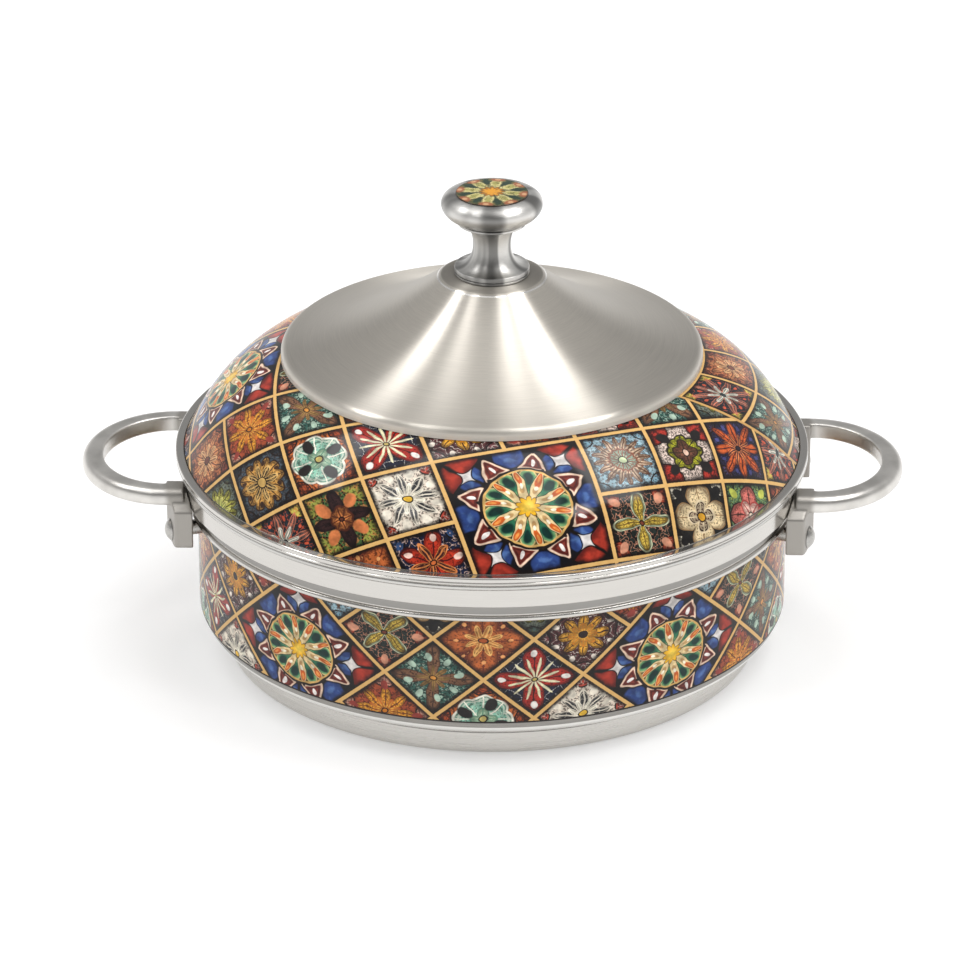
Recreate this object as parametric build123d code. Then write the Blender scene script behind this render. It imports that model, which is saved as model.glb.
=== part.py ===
from build123d import *
import os
from math import asin, atan, atan2, cos, degrees, hypot, radians, sin, tan

# Insulated serving casserole for flat breads: a double-walled steel pot with foam between its
# walls, two side handles, and a double-walled domed lid that lifts straight off by its knob.
# Millimetres, Z up. The origin is the centre of the base, on the table. X runs through the handles.
# Every round piece is a section, drawn with x as radius and y as height, and turned about Z.

# ---- sheet metal, film and gaps ----
POT_SHEET = 0.6
LID_SHEET = 0.6
CROWN_SHEET = 0.8
RING_SHEET = 1.0
FILM = 0.3  # printed film on the wall and on the dome
SEAT_GAP = 0.3  # between the lid's rim and the pot's lip

# ---- outer wall ----
WALL_RADIUS = 125.9
SHOULDER_RADIUS = 9.0  # round under the wall
INSULATION = 15.5  # between the wall and the bowl's food side

# ---- base pan ----
BASE_INSET = 2.4  # pan's side, in from the start of the wall's round
BASE_HEIGHT = 12.6
BASE_CORNER = 2.5
BASE_BEAD = 0.9  # radius of the bead rolled at the pan's top
BEAD_STAND = 0.6  # how far the bead's centre stands out of the pan's side
SEAM_LAP = 4.5  # flange that the wall is joined to
STANDING_RING = 13.0  # width of the ring that touches the table
FLOOR_RISE = 1.5  # how far the middle of the pan is pressed up
FILL_HOLE = 8.0  # radius of the hole that the foam is poured through
PLUG_LAP = 2.5  # how far the plug's head covers the pan round the hole
PLUG_HEAD = 1.0
PLUG_DEPTH = 3.5  # how far the plug reaches in past the pan

# ---- collar round the mouth ----
COLLAR_TOP = 85.0
COLLAR_STAND = 6.8  # plain band, out from the wall's film
COLLAR_BAND = 8.0  # height of the plain band
COLLAR_SLOPE = 5.2  # height of the slope under the band
COLLAR_UNDERCUT = 3.6  # how far that slope leans in
COLLAR_BEAD = 1.4  # radius of the bead at the slope's foot
COLLAR_LAP = 4.0  # top flange, in past the wall's face
FILM_UNDER_COLLAR = 3.0  # how far the wall's film runs up behind the collar

# ---- bowl ----
BOWL_DEPTH = 63.8
BOWL_CORNER = 14.0
MOUTH_CURVE = 2.5
LIP_BEAD = 1.3  # radius of the rolled lip
LIP_OVERHANG = 1.2  # lip, out past the collar

# ---- handles ----
LOOP_REACH = 42.4  # from the collar to the end of the loop
LOOP_DEPTH = 38.0  # half ellipse, along X
LOOP_HALF_WIDTH = 42.5
BAR_WIDTH = 9.0
BAR_HEIGHT = 7.0
BAR_ROUND = 2.8  # outer upper edge
BAR_SOFT = 0.8  # the bar's other edges
HANDLE_DROP = 0.2  # bar's top, below the collar's top
LUG_THICKNESS = 7.7
LUG_HEEL = 2.5  # how far the lug runs past the bar, inside the loop
LUG_TOE = 4.5  # and outside it
LUG_HEIGHT = 24.8
LUG_FALL = 7.8  # how far the lug's top slopes down towards its toe
LUG_ROUND = 1.0

# ---- rivets ----
RIVET_INSET = 8.0  # in from the lug's toe
RIVET_RISE = 5.5  # above the lug's foot
RIVET_RADIUS = 2.4
RIVET_HEAD_RADIUS = 4.7
RIVET_HEAD_HEIGHT = 2.3
RIVET_TAIL_RADIUS = 3.6
RIVET_TAIL_HEIGHT = 1.6
SPACER_RADIUS = 3.2
BURR_RADIUS = 5.0  # curved washer behind the wall
BURR_THICKNESS = 1.4

# ---- lid rim ----
RING_OVERHANG = 0.8  # out past the pot's lip
RING_WALL = 1.1
RING_UPPER_LEG = 3.5
RING_LOWER_LEG = 7.0
RING_ROUND = 0.9
RING_LINE = 0.35  # depth and half height of the line rolled into the rim

# ---- dome ----
SKIRT_RISE = 12.9
SKIRT_TAPER = 7.4
DOME_RISE = 28.2  # from the top of the skirt to the crown's seat
DOME_BULGE = 3.9
SEAT_RADIUS = 88.7
DOME_TOP_RADIUS = 40.0  # flat in the middle, under the crown
FILM_LAP = 5.0  # film, in under the crown

# ---- lid liner ----
LINER_CLEARANCE = 0.9  # between the liner's skirt and the bowl
LINER_DROP = 9.4  # how far the skirt hangs below its flange
LINER_FOLD = 4.4  # width of the fold at its foot
LINER_FOLD_ROUND = 2.0
LINER_BEND = 1.5
LINER_RISE = 23.0  # ceiling above the flange
LINER_CORNER = 12.0

# ---- crown ----
CROWN_RISE = 37.0  # plateau above the lip's foot
CROWN_LIP = 4.4  # height of the turned-down lip
CROWN_LIP_ROUND = 2.6
CROWN_HOLLOW = 5.0  # how far the flank is hollowed
PLATEAU_RADIUS = 21.5
PLATEAU_ROUND = 8.0

# ---- knob, inlay and fixing ----
KNOB_FOOT_RADIUS = 15.8
KNOB_FOOT_HEIGHT = 3.6
KNOB_FOOT_STEP = 0.5
KNOB_NECK_RADIUS = 8.0
KNOB_LOWER_FLARE = 9.2
KNOB_NECK_HEIGHT = 0.8
KNOB_UPPER_FLARE = 9.5
KNOB_FLARE_RADIUS = 13.2  # where the upper flare meets the ring
KNOB_RING_STAND = 1.4  # small ring under the head, out from the flare
KNOB_RING_HEIGHT = 1.0
KNOB_RADIUS = 21.4
KNOB_UNDERSIDE_RISE = 7.7  # from the ring to the head's widest place
KNOB_UNDERSIDE_REACH = 19.0  # half width of the ellipse that the head's underside follows
KNOB_UNDERSIDE_TURN = 54.0  # how much of that ellipse it follows, in degrees
KNOB_HEAD_RISE = 4.4  # from the widest place to the top
KNOB_TOP_BORDER = 0.7  # metal left round the inlay
INLAY_RADIUS = 15.3
INLAY_THICKNESS = 1.5
INLAY_STAND = 0.7  # how far the inlay stands out of the knob
INLAY_CHAMFER = 0.3
STUD_RADIUS = 3.0
STUD_CLEARANCE = 0.2  # in the crown, the dome and the washer
STUD_IN_KNOB = 16.0
STUD_PAST_NUT = 2.0
STUD_CHAMFER = 0.6
NUT_FLATS = 10.0
NUT_HEIGHT = 5.0
WASHER_RADIUS = 9.0
WASHER_THICKNESS = 1.2

# ---- places in the pot, worked out from the sizes above ----
FILM_RADIUS = WALL_RADIUS + FILM
WALL_INSIDE = WALL_RADIUS - POT_SHEET
WALL_START = WALL_RADIUS - SHOULDER_RADIUS
SHOULDER_TOP = BASE_HEIGHT + SHOULDER_RADIUS
WALL_TOP = COLLAR_TOP - POT_SHEET
BASE_RADIUS = WALL_START - BASE_INSET
SEAM_RADIUS = BASE_RADIUS - SEAM_LAP
COLLAR_RADIUS = FILM_RADIUS + COLLAR_STAND
BAND_BOTTOM = COLLAR_TOP - COLLAR_BAND
COLLAR_BEAD_RADIUS = COLLAR_RADIUS - COLLAR_UNDERCUT
SLOPE_FOOT = BAND_BOTTOM - COLLAR_SLOPE
COLLAR_BEAD_Z = SLOPE_FOOT - COLLAR_BEAD
COLLAR_BOTTOM = COLLAR_BEAD_Z - COLLAR_BEAD
BOWL_RADIUS = WALL_RADIUS - INSULATION - POT_SHEET
FLANGE_TOP = COLLAR_TOP + POT_SHEET
BOWL_FLOOR = FLANGE_TOP - BOWL_DEPTH
LIP_RADIUS = COLLAR_RADIUS + LIP_OVERHANG
LIP_TOP = COLLAR_TOP + 2 * LIP_BEAD
HANDLE_TOP = COLLAR_TOP - HANDLE_DROP
LOOP_CENTRE = COLLAR_RADIUS + LOOP_REACH - LOOP_DEPTH
BAR_INSIDE = LOOP_HALF_WIDTH - BAR_WIDTH
LUG_RADIUS = COLLAR_RADIUS + LUG_THICKNESS
LUG_END = LOOP_HALF_WIDTH + LUG_TOE
LUG_FOOT = HANDLE_TOP - LUG_HEIGHT
RIVET_Z = LUG_FOOT + RIVET_RISE
RIVET_ANGLE = degrees(asin((LUG_END - RIVET_INSET) / LUG_RADIUS))
BURR_FACE = WALL_INSIDE - BURR_THICKNESS

# ---- places in the lid ----
RING_RADIUS = LIP_RADIUS + RING_OVERHANG
RING_INSIDE = RING_RADIUS - RING_WALL
RING_MOUTH = RING_RADIUS - RING_UPPER_LEG
RING_BOTTOM = LIP_TOP + SEAT_GAP
LINER_FLANGE = RING_BOTTOM + RING_SHEET
DOME_FLANGE = LINER_FLANGE + LID_SHEET
SKIRT_FOOT = DOME_FLANGE + LID_SHEET
RING_TOP = SKIRT_FOOT + RING_SHEET
SHOULDER_R = RING_MOUTH - SKIRT_TAPER
SHOULDER_Z = SKIRT_FOOT + SKIRT_RISE
SEAT_Z = SHOULDER_Z + DOME_RISE
DOME_CHORD = hypot(SHOULDER_R - SEAT_RADIUS, DOME_RISE)
SEAT_SLOPE = atan2(DOME_RISE, SHOULDER_R - SEAT_RADIUS) - 2 * atan(2 * DOME_BULGE / DOME_CHORD)
DOME_TOP = SEAT_Z + (SEAT_RADIUS - DOME_TOP_RADIUS) * tan(SEAT_SLOPE / 2)
DOME_INSIDE = DOME_TOP - LID_SHEET
LINER_RADIUS = BOWL_RADIUS - LINER_CLEARANCE
LINER_MOUTH = LINER_RADIUS - LINER_FOLD
LINER_FOOT = LINER_FLANGE - LINER_DROP
LINER_CEILING = LINER_FLANGE + LINER_RISE
CROWN_RADIUS = SEAT_RADIUS + CROWN_SHEET
CROWN_FOOT = SEAT_Z + FILM / cos(SEAT_SLOPE)
PLATEAU_Z = CROWN_FOOT + CROWN_RISE
STUD_HOLE = STUD_RADIUS + STUD_CLEARANCE
NUT_TOP = DOME_INSIDE - WASHER_THICKNESS
NUT_BOTTOM = NUT_TOP - NUT_HEIGHT
KNOB_NECK_BOTTOM = PLATEAU_Z + KNOB_FOOT_HEIGHT + KNOB_LOWER_FLARE
KNOB_NECK_TOP = KNOB_NECK_BOTTOM + KNOB_NECK_HEIGHT
KNOB_RING_BOTTOM = KNOB_NECK_TOP + KNOB_UPPER_FLARE
KNOB_RING_TOP = KNOB_RING_BOTTOM + KNOB_RING_HEIGHT
KNOB_WIDEST_Z = KNOB_RING_TOP + KNOB_UNDERSIDE_RISE
KNOB_TOP = KNOB_WIDEST_Z + KNOB_HEAD_RISE
KNOB_TOP_RADIUS = INLAY_RADIUS + KNOB_TOP_BORDER
INLAY_TOP = KNOB_TOP + INLAY_STAND
INLAY_BOTTOM = INLAY_TOP - INLAY_THICKNESS

# ---- the two handles, by the turn about Z that places each, and the rivets of one handle ----
SIDES = {"right": 0, "left": 180}
RIVETS = (-RIVET_ANGLE, RIVET_ANGLE)
ALL_RIVETS = [turn + angle for turn in SIDES.values() for angle in RIVETS]
SAME = 0.001  # places closer than this count as one


# ---- drawing helpers ----
def turned(section):
    """A section turned about Z into a solid."""
    return revolve(Plane.XZ * section, Axis.Z)


def area(r0, r1, z0, z1):
    """A rectangle in the section, between two radii and two heights."""
    return Pos((r0 + r1) / 2, (z0 + z1) / 2) * Rectangle(r1 - r0, z1 - z0)


def round_at(r, z, radius):
    """A round in the section, such as a rolled bead."""
    return Pos(r, z) * Circle(radius)


def rounded(path, corner, radius):
    """A path with its corner at one point rounded off."""
    return path.fillet_2d(radius, [path.vertices().sort_by_distance(corner)[0]])


def sheet(path, thickness, side):
    """Sheet metal or film that lies along one side of a path."""
    return Sketch() + make_face(path.offset_2d(thickness, side=side, closed=True))


def piece_at(section, r, z):
    """The separate area of a section that holds a point."""
    return Sketch() + [face for face in section.faces() if face.is_inside(Vector(r, z))]


def disc(radius, z0, z1):
    """A plain round block on the axis, between two heights."""
    return Pos(0, 0, (z0 + z1) / 2) * Cylinder(radius, z1 - z0)


def tube(r0, r1):
    """An upright tube about the axis, as tall as the pot."""
    return disc(r1, 0, COLLAR_TOP) - disc(r0, 0, COLLAR_TOP)


def write(name, shape):
    shape.label = name
    export_step(shape, "parts/" + name + ".step")


# ---- base pan and its plug ----
def pan_path():
    """The pan's outer face, from the axis to its top."""
    side = BASE_RADIUS - BASE_CORNER
    ring = side - STANDING_RING
    return Wire(
        [
            Line((0, FLOOR_RISE), (ring - FLOOR_RISE, FLOOR_RISE)),
            Line((ring - FLOOR_RISE, FLOOR_RISE), (ring, 0)),
            Line((ring, 0), (side, 0)),
            CenterArc((side, BASE_CORNER), BASE_CORNER, -90, 90),
            Line((BASE_RADIUS, BASE_CORNER), (BASE_RADIUS, BASE_HEIGHT)),
        ]
    )


def pan_section():
    pan = sheet(pan_path(), POT_SHEET, Side.LEFT)
    flange = area(SEAM_RADIUS, BASE_RADIUS, BASE_HEIGHT - POT_SHEET, BASE_HEIGHT)
    return pan + flange + round_at(BASE_RADIUS + BEAD_STAND, BASE_HEIGHT - BASE_BEAD, BASE_BEAD)


def fill_plug():
    """A stepped plug, its head in the hollow under the pan."""
    head = disc(FILL_HOLE + PLUG_LAP, FLOOR_RISE - PLUG_HEAD, FLOOR_RISE)
    return head + disc(FILL_HOLE, FLOOR_RISE, FLOOR_RISE + POT_SHEET + PLUG_DEPTH)


def base_pan():
    return turned(pan_section()) - fill_plug()


# ---- outer wall and its film ----
def wall_path():
    """The wall's outer face, from its seam with the pan to its top edge."""
    return Wire(
        [
            Line((SEAM_RADIUS, BASE_HEIGHT), (WALL_START, BASE_HEIGHT)),
            CenterArc((WALL_START, SHOULDER_TOP), SHOULDER_RADIUS, -90, 90),
            Line((WALL_RADIUS, SHOULDER_TOP), (WALL_RADIUS, WALL_TOP)),
        ]
    )


def wall_section():
    return sheet(wall_path(), POT_SHEET, Side.LEFT)


def outer_wall():
    return drilled(turned(wall_section()), ALL_RIVETS)


def wall_film():
    strip = area(WALL_RADIUS, FILM_RADIUS, SHOULDER_TOP, COLLAR_BOTTOM + FILM_UNDER_COLLAR)
    return drilled(turned(strip), ALL_RIVETS)


# ---- collar ----
def collar_band():
    """A hem against the film, a bead, a slope, a plain band and a flange over the wall's edge."""
    path = Wire(
        [
            Line((COLLAR_BEAD_RADIUS, COLLAR_BEAD_Z), (COLLAR_BEAD_RADIUS, SLOPE_FOOT)),
            Line((COLLAR_BEAD_RADIUS, SLOPE_FOOT), (COLLAR_RADIUS, BAND_BOTTOM)),
            Line((COLLAR_RADIUS, BAND_BOTTOM), (COLLAR_RADIUS, COLLAR_TOP)),
            Line((COLLAR_RADIUS, COLLAR_TOP), (WALL_RADIUS - COLLAR_LAP, COLLAR_TOP)),
        ]
    )
    hem = area(FILM_RADIUS, COLLAR_BEAD_RADIUS, COLLAR_BOTTOM, COLLAR_BOTTOM + POT_SHEET)
    bead = round_at(COLLAR_BEAD_RADIUS, COLLAR_BEAD_Z, COLLAR_BEAD)
    return turned(sheet(path, POT_SHEET, Side.LEFT) + bead + hem)


# ---- bowl ----
def bowl_section():
    """The bowl that holds the food, with a flange over the collar and a rolled lip."""
    lip = LIP_RADIUS - LIP_BEAD
    floor_end = BOWL_RADIUS - BOWL_CORNER
    wall_end = FLANGE_TOP - MOUTH_CURVE
    path = Wire(
        [
            Line((0, BOWL_FLOOR), (floor_end, BOWL_FLOOR)),
            CenterArc((floor_end, BOWL_FLOOR + BOWL_CORNER), BOWL_CORNER, -90, 90),
            Line((BOWL_RADIUS, BOWL_FLOOR + BOWL_CORNER), (BOWL_RADIUS, wall_end)),
            CenterArc((BOWL_RADIUS + MOUTH_CURVE, wall_end), MOUTH_CURVE, 180, -90),
            Line((BOWL_RADIUS + MOUTH_CURVE, FLANGE_TOP), (lip, FLANGE_TOP)),
        ]
    )
    return sheet(path, POT_SHEET, Side.RIGHT) + round_at(lip, COLLAR_TOP + LIP_BEAD, LIP_BEAD)


# ---- foam in the pot ----
def pot_foam():
    """All the room between the pan, the wall and the bowl, less the plug and the rivets' ends."""
    seam = Line((BASE_RADIUS, BASE_HEIGHT), (WALL_START, BASE_HEIGHT))
    top = Line((WALL_RADIUS, WALL_TOP), (0, WALL_TOP))
    axis = Line((0, WALL_TOP), (0, FLOOR_RISE))
    outline = Wire(pan_path().edges() + [seam] + wall_path().edges()[1:] + [top, axis])
    block = make_face(outline) - pan_section() - wall_section() - bowl_section()
    foam = turned(piece_at(block, BOWL_RADIUS / 2, BOWL_FLOOR / 2)) - fill_plug()
    for angle in ALL_RIVETS:
        foam = foam - round_at_rivet(angle, BURR_RADIUS, BURR_FACE, WALL_INSIDE)
        foam = foam - rivet_tail(angle) - rivet_shank(angle)
    return foam


# ---- rivets, spacers and burrs ----
def radial(angle):
    """Turns a shape's own Z onto a radius of the pot, at the rivets' height."""
    return Rot(0, 0, angle) * Pos(0, 0, RIVET_Z) * Rot(0, 90, 0)


def round_at_rivet(angle, radius, r0, r1):
    """A round piece on a rivet's axis, both its faces curved about the pot's axis."""
    return radial(angle) * disc(radius, BOWL_RADIUS, LUG_RADIUS) & tube(r0, r1)


def rivet_shank(angle):
    """Reaches into the head and the tail."""
    inner = BURR_FACE - RIVET_TAIL_HEIGHT / 2
    return radial(angle) * disc(RIVET_RADIUS, inner, LUG_RADIUS + RIVET_HEAD_HEIGHT / 2)


def rivet_head(angle):
    """A cap of a ball, seated on the lug's curved face."""
    ball = (RIVET_HEAD_RADIUS**2 + RIVET_HEAD_HEIGHT**2) / (2 * RIVET_HEAD_HEIGHT)
    centre = LUG_RADIUS + RIVET_HEAD_HEIGHT - ball
    return radial(angle) * Pos(0, 0, centre) * Sphere(ball) - disc(LUG_RADIUS, 0, COLLAR_TOP)


def rivet_tail(angle):
    """The clinched end behind the burr."""
    return round_at_rivet(angle, RIVET_TAIL_RADIUS, BURR_FACE - RIVET_TAIL_HEIGHT, BURR_FACE)


def drilled(shape, angles):
    """A shape with the holes that the rivets at some angles fill."""
    for angle in angles:
        shape = shape - rivet_shank(angle)
    return shape


def rivets(angles):
    return Part() + [rivet_head(a) + rivet_shank(a) + rivet_tail(a) for a in angles]


def spacers(angles):
    """Short sleeves between the wall's film and the lugs."""
    sleeves = [round_at_rivet(a, SPACER_RADIUS, FILM_RADIUS, COLLAR_RADIUS) for a in angles]
    return drilled(Part() + sleeves, angles)


def burrs(angles):
    """Curved washers behind the wall."""
    washers = [round_at_rivet(a, BURR_RADIUS, BURR_FACE, WALL_INSIDE) for a in angles]
    return drilled(Part() + washers, angles)


# ---- handles ----
def loop_plan(depth, half_width):
    """Half an ellipse away from the pot, with straight legs towards its axis."""
    bow = Ellipse(depth, half_width) & Pos(depth / 2, 0) * Rectangle(depth, 2 * half_width)
    legs = Pos(-LOOP_CENTRE / 2, 0) * Rectangle(LOOP_CENTRE, 2 * half_width)
    return Pos(LOOP_CENTRE, 0, HANDLE_TOP - BAR_HEIGHT) * (bow + legs)


def long_edges(bar, half_width, z):
    """The edges that run along the bar at one height, on the loop's outside or inside."""

    def wanted(edge):
        box = edge.bounding_box()
        level = abs(box.min.Z - z) < SAME and abs(box.max.Z - z) < SAME
        return level and box.size.X > SAME and abs(max(box.max.Y, -box.min.Y) - half_width) < SAME

    return bar.edges().filter_by(wanted)


def handle_bar():
    """The loop's bar, flat on top, with a well rounded outer upper edge."""
    inside = loop_plan(LOOP_DEPTH - BAR_WIDTH, BAR_INSIDE)
    bar = extrude(loop_plan(LOOP_DEPTH, LOOP_HALF_WIDTH) - inside, BAR_HEIGHT)
    bar = fillet(long_edges(bar, LOOP_HALF_WIDTH, HANDLE_TOP), BAR_ROUND)
    low = HANDLE_TOP - BAR_HEIGHT
    soft = long_edges(bar, BAR_INSIDE, HANDLE_TOP) + long_edges(bar, BAR_INSIDE, low)
    bar = fillet(soft + long_edges(bar, LOOP_HALF_WIDTH, low), BAR_SOFT)
    return bar - disc(LUG_RADIUS, 0, LIP_TOP)


def lug():
    """A curved block against the collar, its top sloping down towards its toe."""
    side = Polyline(
        (BAR_INSIDE - LUG_HEEL, LUG_FOOT),
        (LUG_END, LUG_FOOT),
        (LUG_END, HANDLE_TOP - LUG_FALL),
        (BAR_INSIDE, HANDLE_TOP),
        (BAR_INSIDE - LUG_HEEL, HANDLE_TOP),
        close=True,
    )
    block = tube(COLLAR_RADIUS, LUG_RADIUS) & extrude(Plane.YZ * make_face(side), LUG_RADIUS)
    toe = block.faces().sort_by(Axis.Y)[-1]
    return fillet(toe.edges().sort_by(Axis.X)[-1], LUG_ROUND)


def handle(turn):
    """One handle, cast in one piece with its two lugs, and drilled for its rivets."""
    whole = handle_bar() + lug() + mirror(lug(), Plane.XZ)
    return Rot(0, 0, turn) * drilled(whole, RIVETS)


# ---- lid: rim, dome and film ----
def lid_rim_ring():
    """A channel rolled round the flanges of the dome and the liner."""
    outline = area(RING_RADIUS - RING_LOWER_LEG, RING_RADIUS, RING_BOTTOM, RING_TOP)
    outline = outline - area(0, RING_MOUTH, LINER_FLANGE, RING_TOP)
    outline = outline - area(0, RING_INSIDE, LINER_FLANGE, SKIRT_FOOT)
    outline = outline - round_at(RING_RADIUS, LINER_FLANGE, RING_LINE)
    corner = outline.vertices().sort_by_distance((RING_RADIUS, RING_TOP))[0]
    return turned(fillet(corner, RING_ROUND))


def dome_path():
    """The dome's outer face, from its flange in the rim to the axis."""
    inward = (-cos(SEAT_SLOPE), sin(SEAT_SLOPE))
    return Wire(
        [
            Line((RING_INSIDE, SKIRT_FOOT), (RING_MOUTH, SKIRT_FOOT)),
            Line((RING_MOUTH, SKIRT_FOOT), (SHOULDER_R, SHOULDER_Z)),
            SagittaArc((SHOULDER_R, SHOULDER_Z), (SEAT_RADIUS, SEAT_Z), -DOME_BULGE),
            TangentArc((SEAT_RADIUS, SEAT_Z), (DOME_TOP_RADIUS, DOME_TOP), tangent=inward),
            Line((DOME_TOP_RADIUS, DOME_TOP), (0, DOME_TOP)),
        ]
    )


def dome_section():
    return sheet(dome_path(), LID_SHEET, Side.LEFT)


def lid_dome():
    return turned(dome_section()) - stud_hole()


def lid_film():
    """Printed film from the rim to just under the crown's lip."""
    shown = area(SEAT_RADIUS - FILM_LAP, RING_RADIUS, RING_TOP, DOME_TOP)
    return turned(sheet(dome_path(), FILM, Side.RIGHT) & shown)


# ---- lid: liner and foam ----
def liner_section():
    """A flange in the rim, a folded skirt that hangs into the bowl, and a raised ceiling."""
    path = FilletPolyline(
        (RING_INSIDE, LINER_FLANGE),
        (LINER_RADIUS, LINER_FLANGE),
        (LINER_RADIUS, LINER_FOOT),
        (LINER_MOUTH, LINER_FOOT),
        (LINER_MOUTH, LINER_CEILING),
        (0, LINER_CEILING),
        radius=[LINER_BEND, LINER_FOLD_ROUND, LINER_FOLD_ROUND, LINER_CORNER],
    )
    return sheet(Wire(path.edges()), LID_SHEET, Side.RIGHT)


def lid_foam():
    """All the room between the dome and the liner, less the knob's fixing."""
    edge = Line((RING_INSIDE, LINER_FOOT), (RING_INSIDE, SKIRT_FOOT))
    foot = Line((0, LINER_FOOT), (RING_INSIDE, LINER_FOOT))
    axis = Line((0, DOME_TOP), (0, LINER_FOOT))
    block = make_face(Wire(dome_path().edges() + [axis, foot, edge]))
    block = block - dome_section() - liner_section()
    foam = turned(piece_at(block, LINER_MOUTH / 2, (LINER_CEILING + DOME_INSIDE) / 2))
    fixing = disc(WASHER_RADIUS, NUT_TOP, DOME_INSIDE)
    return foam - fixing - hexagon() - knob_stud()


# ---- crown ----
def crown():
    """A spun cone with a hollowed flank, a flat top and a turned-down lip that stands on the film."""
    plateau = (PLATEAU_RADIUS, PLATEAU_Z)
    brim = (CROWN_RADIUS, CROWN_FOOT + CROWN_LIP)
    path = Wire(
        [
            Line((0, PLATEAU_Z), plateau),
            SagittaArc(plateau, brim, -CROWN_HOLLOW),
            Line(brim, (CROWN_RADIUS, CROWN_FOOT)),
        ]
    )
    path = rounded(rounded(path, plateau, PLATEAU_ROUND), brim, CROWN_LIP_ROUND)
    return turned(sheet(path, CROWN_SHEET, Side.RIGHT)) - stud_hole()


# ---- knob, inlay and fixing ----
def stud_hole():
    return disc(STUD_HOLE, NUT_BOTTOM, KNOB_NECK_BOTTOM)


def knob_stud():
    """A plain stud in place of a threaded one."""
    stud = disc(STUD_RADIUS, NUT_BOTTOM - STUD_PAST_NUT, PLATEAU_Z + STUD_IN_KNOB)
    return chamfer(stud.edges().sort_by(Axis.Z)[0], STUD_CHAMFER)


def hexagon():
    plan = RegularPolygon(NUT_FLATS / 2, 6, major_radius=False)
    return Pos(0, 0, NUT_BOTTOM) * extrude(plan, NUT_HEIGHT)


def knob_washer():
    return disc(WASHER_RADIUS, NUT_TOP, DOME_INSIDE) - stud_hole()


def knob_inlay():
    inlay = disc(INLAY_RADIUS, INLAY_BOTTOM, INLAY_TOP)
    return chamfer(inlay.edges().sort_by(Axis.Z)[-1], INLAY_CHAMFER)


def knob():
    """A turned knob: stepped foot, waisted neck, small ring, round head with a recess for the inlay."""
    foot_top = PLATEAU_Z + KNOB_FOOT_HEIGHT
    foot = KNOB_FOOT_RADIUS - KNOB_FOOT_STEP
    neck = KNOB_NECK_RADIUS
    flare = KNOB_FLARE_RADIUS
    ring = flare + KNOB_RING_STAND
    centre = KNOB_RADIUS - KNOB_UNDERSIDE_REACH
    start = radians(KNOB_UNDERSIDE_TURN)
    head = centre + KNOB_UNDERSIDE_REACH * cos(start)
    depth = KNOB_UNDERSIDE_RISE / sin(start)
    lower = ((foot, KNOB_NECK_BOTTOM), foot - neck, KNOB_LOWER_FLARE, 270)
    upper = ((flare, KNOB_NECK_TOP), flare - neck, KNOB_UPPER_FLARE, 180)
    underside = ((centre, KNOB_WIDEST_Z), KNOB_UNDERSIDE_REACH, depth, -KNOB_UNDERSIDE_TURN)
    brow = ((KNOB_TOP_RADIUS, KNOB_WIDEST_Z), KNOB_RADIUS - KNOB_TOP_RADIUS, KNOB_HEAD_RISE, 0)
    step = [(KNOB_FOOT_RADIUS, PLATEAU_Z), (KNOB_FOOT_RADIUS, foot_top), (foot, foot_top)]
    bead = [(ring, KNOB_RING_BOTTOM), (ring, KNOB_RING_TOP), (head, KNOB_RING_TOP)]
    outline = Wire(
        [
            *Polyline((0, PLATEAU_Z), *step).edges(),
            EllipticalCenterArc(*lower, arc_size=-90),
            Line((neck, KNOB_NECK_BOTTOM), (neck, KNOB_NECK_TOP)),
            EllipticalCenterArc(*upper, arc_size=-90),
            *Polyline((flare, KNOB_RING_BOTTOM), *bead).edges(),
            EllipticalCenterArc(*underside, arc_size=KNOB_UNDERSIDE_TURN),
            EllipticalCenterArc(*brow, arc_size=90),
            *Polyline((KNOB_TOP_RADIUS, KNOB_TOP), (0, KNOB_TOP), (0, PLATEAU_Z)).edges(),
        ]
    )
    recess = area(0, INLAY_RADIUS, INLAY_BOTTOM, INLAY_TOP)
    return turned(make_face(outline) - recess) - knob_stud()


# ---- build and write ----
os.makedirs("parts", exist_ok=True)
write("base_pan", base_pan())
write("fill_plug", fill_plug())
write("outer_wall", outer_wall())
write("wall_film", wall_film())
write("collar_band", collar_band())
write("inner_bowl", turned(bowl_section()))
write("pot_foam", pot_foam())
for side, turn in SIDES.items():
    angles = [turn + angle for angle in RIVETS]
    write("handle_" + side, handle(turn))
    write("handle_rivets_" + side, rivets(angles))
    write("rivet_spacers_" + side, spacers(angles))
    write("rivet_burrs_" + side, burrs(angles))
write("lid_rim_ring", lid_rim_ring())
write("lid_dome", lid_dome())
write("lid_film", lid_film())
write("lid_liner", turned(liner_section()))
write("lid_foam", lid_foam())
write("crown", crown())
write("knob", knob())
write("knob_inlay", knob_inlay())
write("knob_stud", knob_stud())
write("knob_washer", knob_washer())
write("knob_nut", hexagon() - knob_stud())
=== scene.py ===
from math import atan, cos, pi, radians, sin, tan, tau

import bpy
from mathutils import Matrix, Vector


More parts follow.
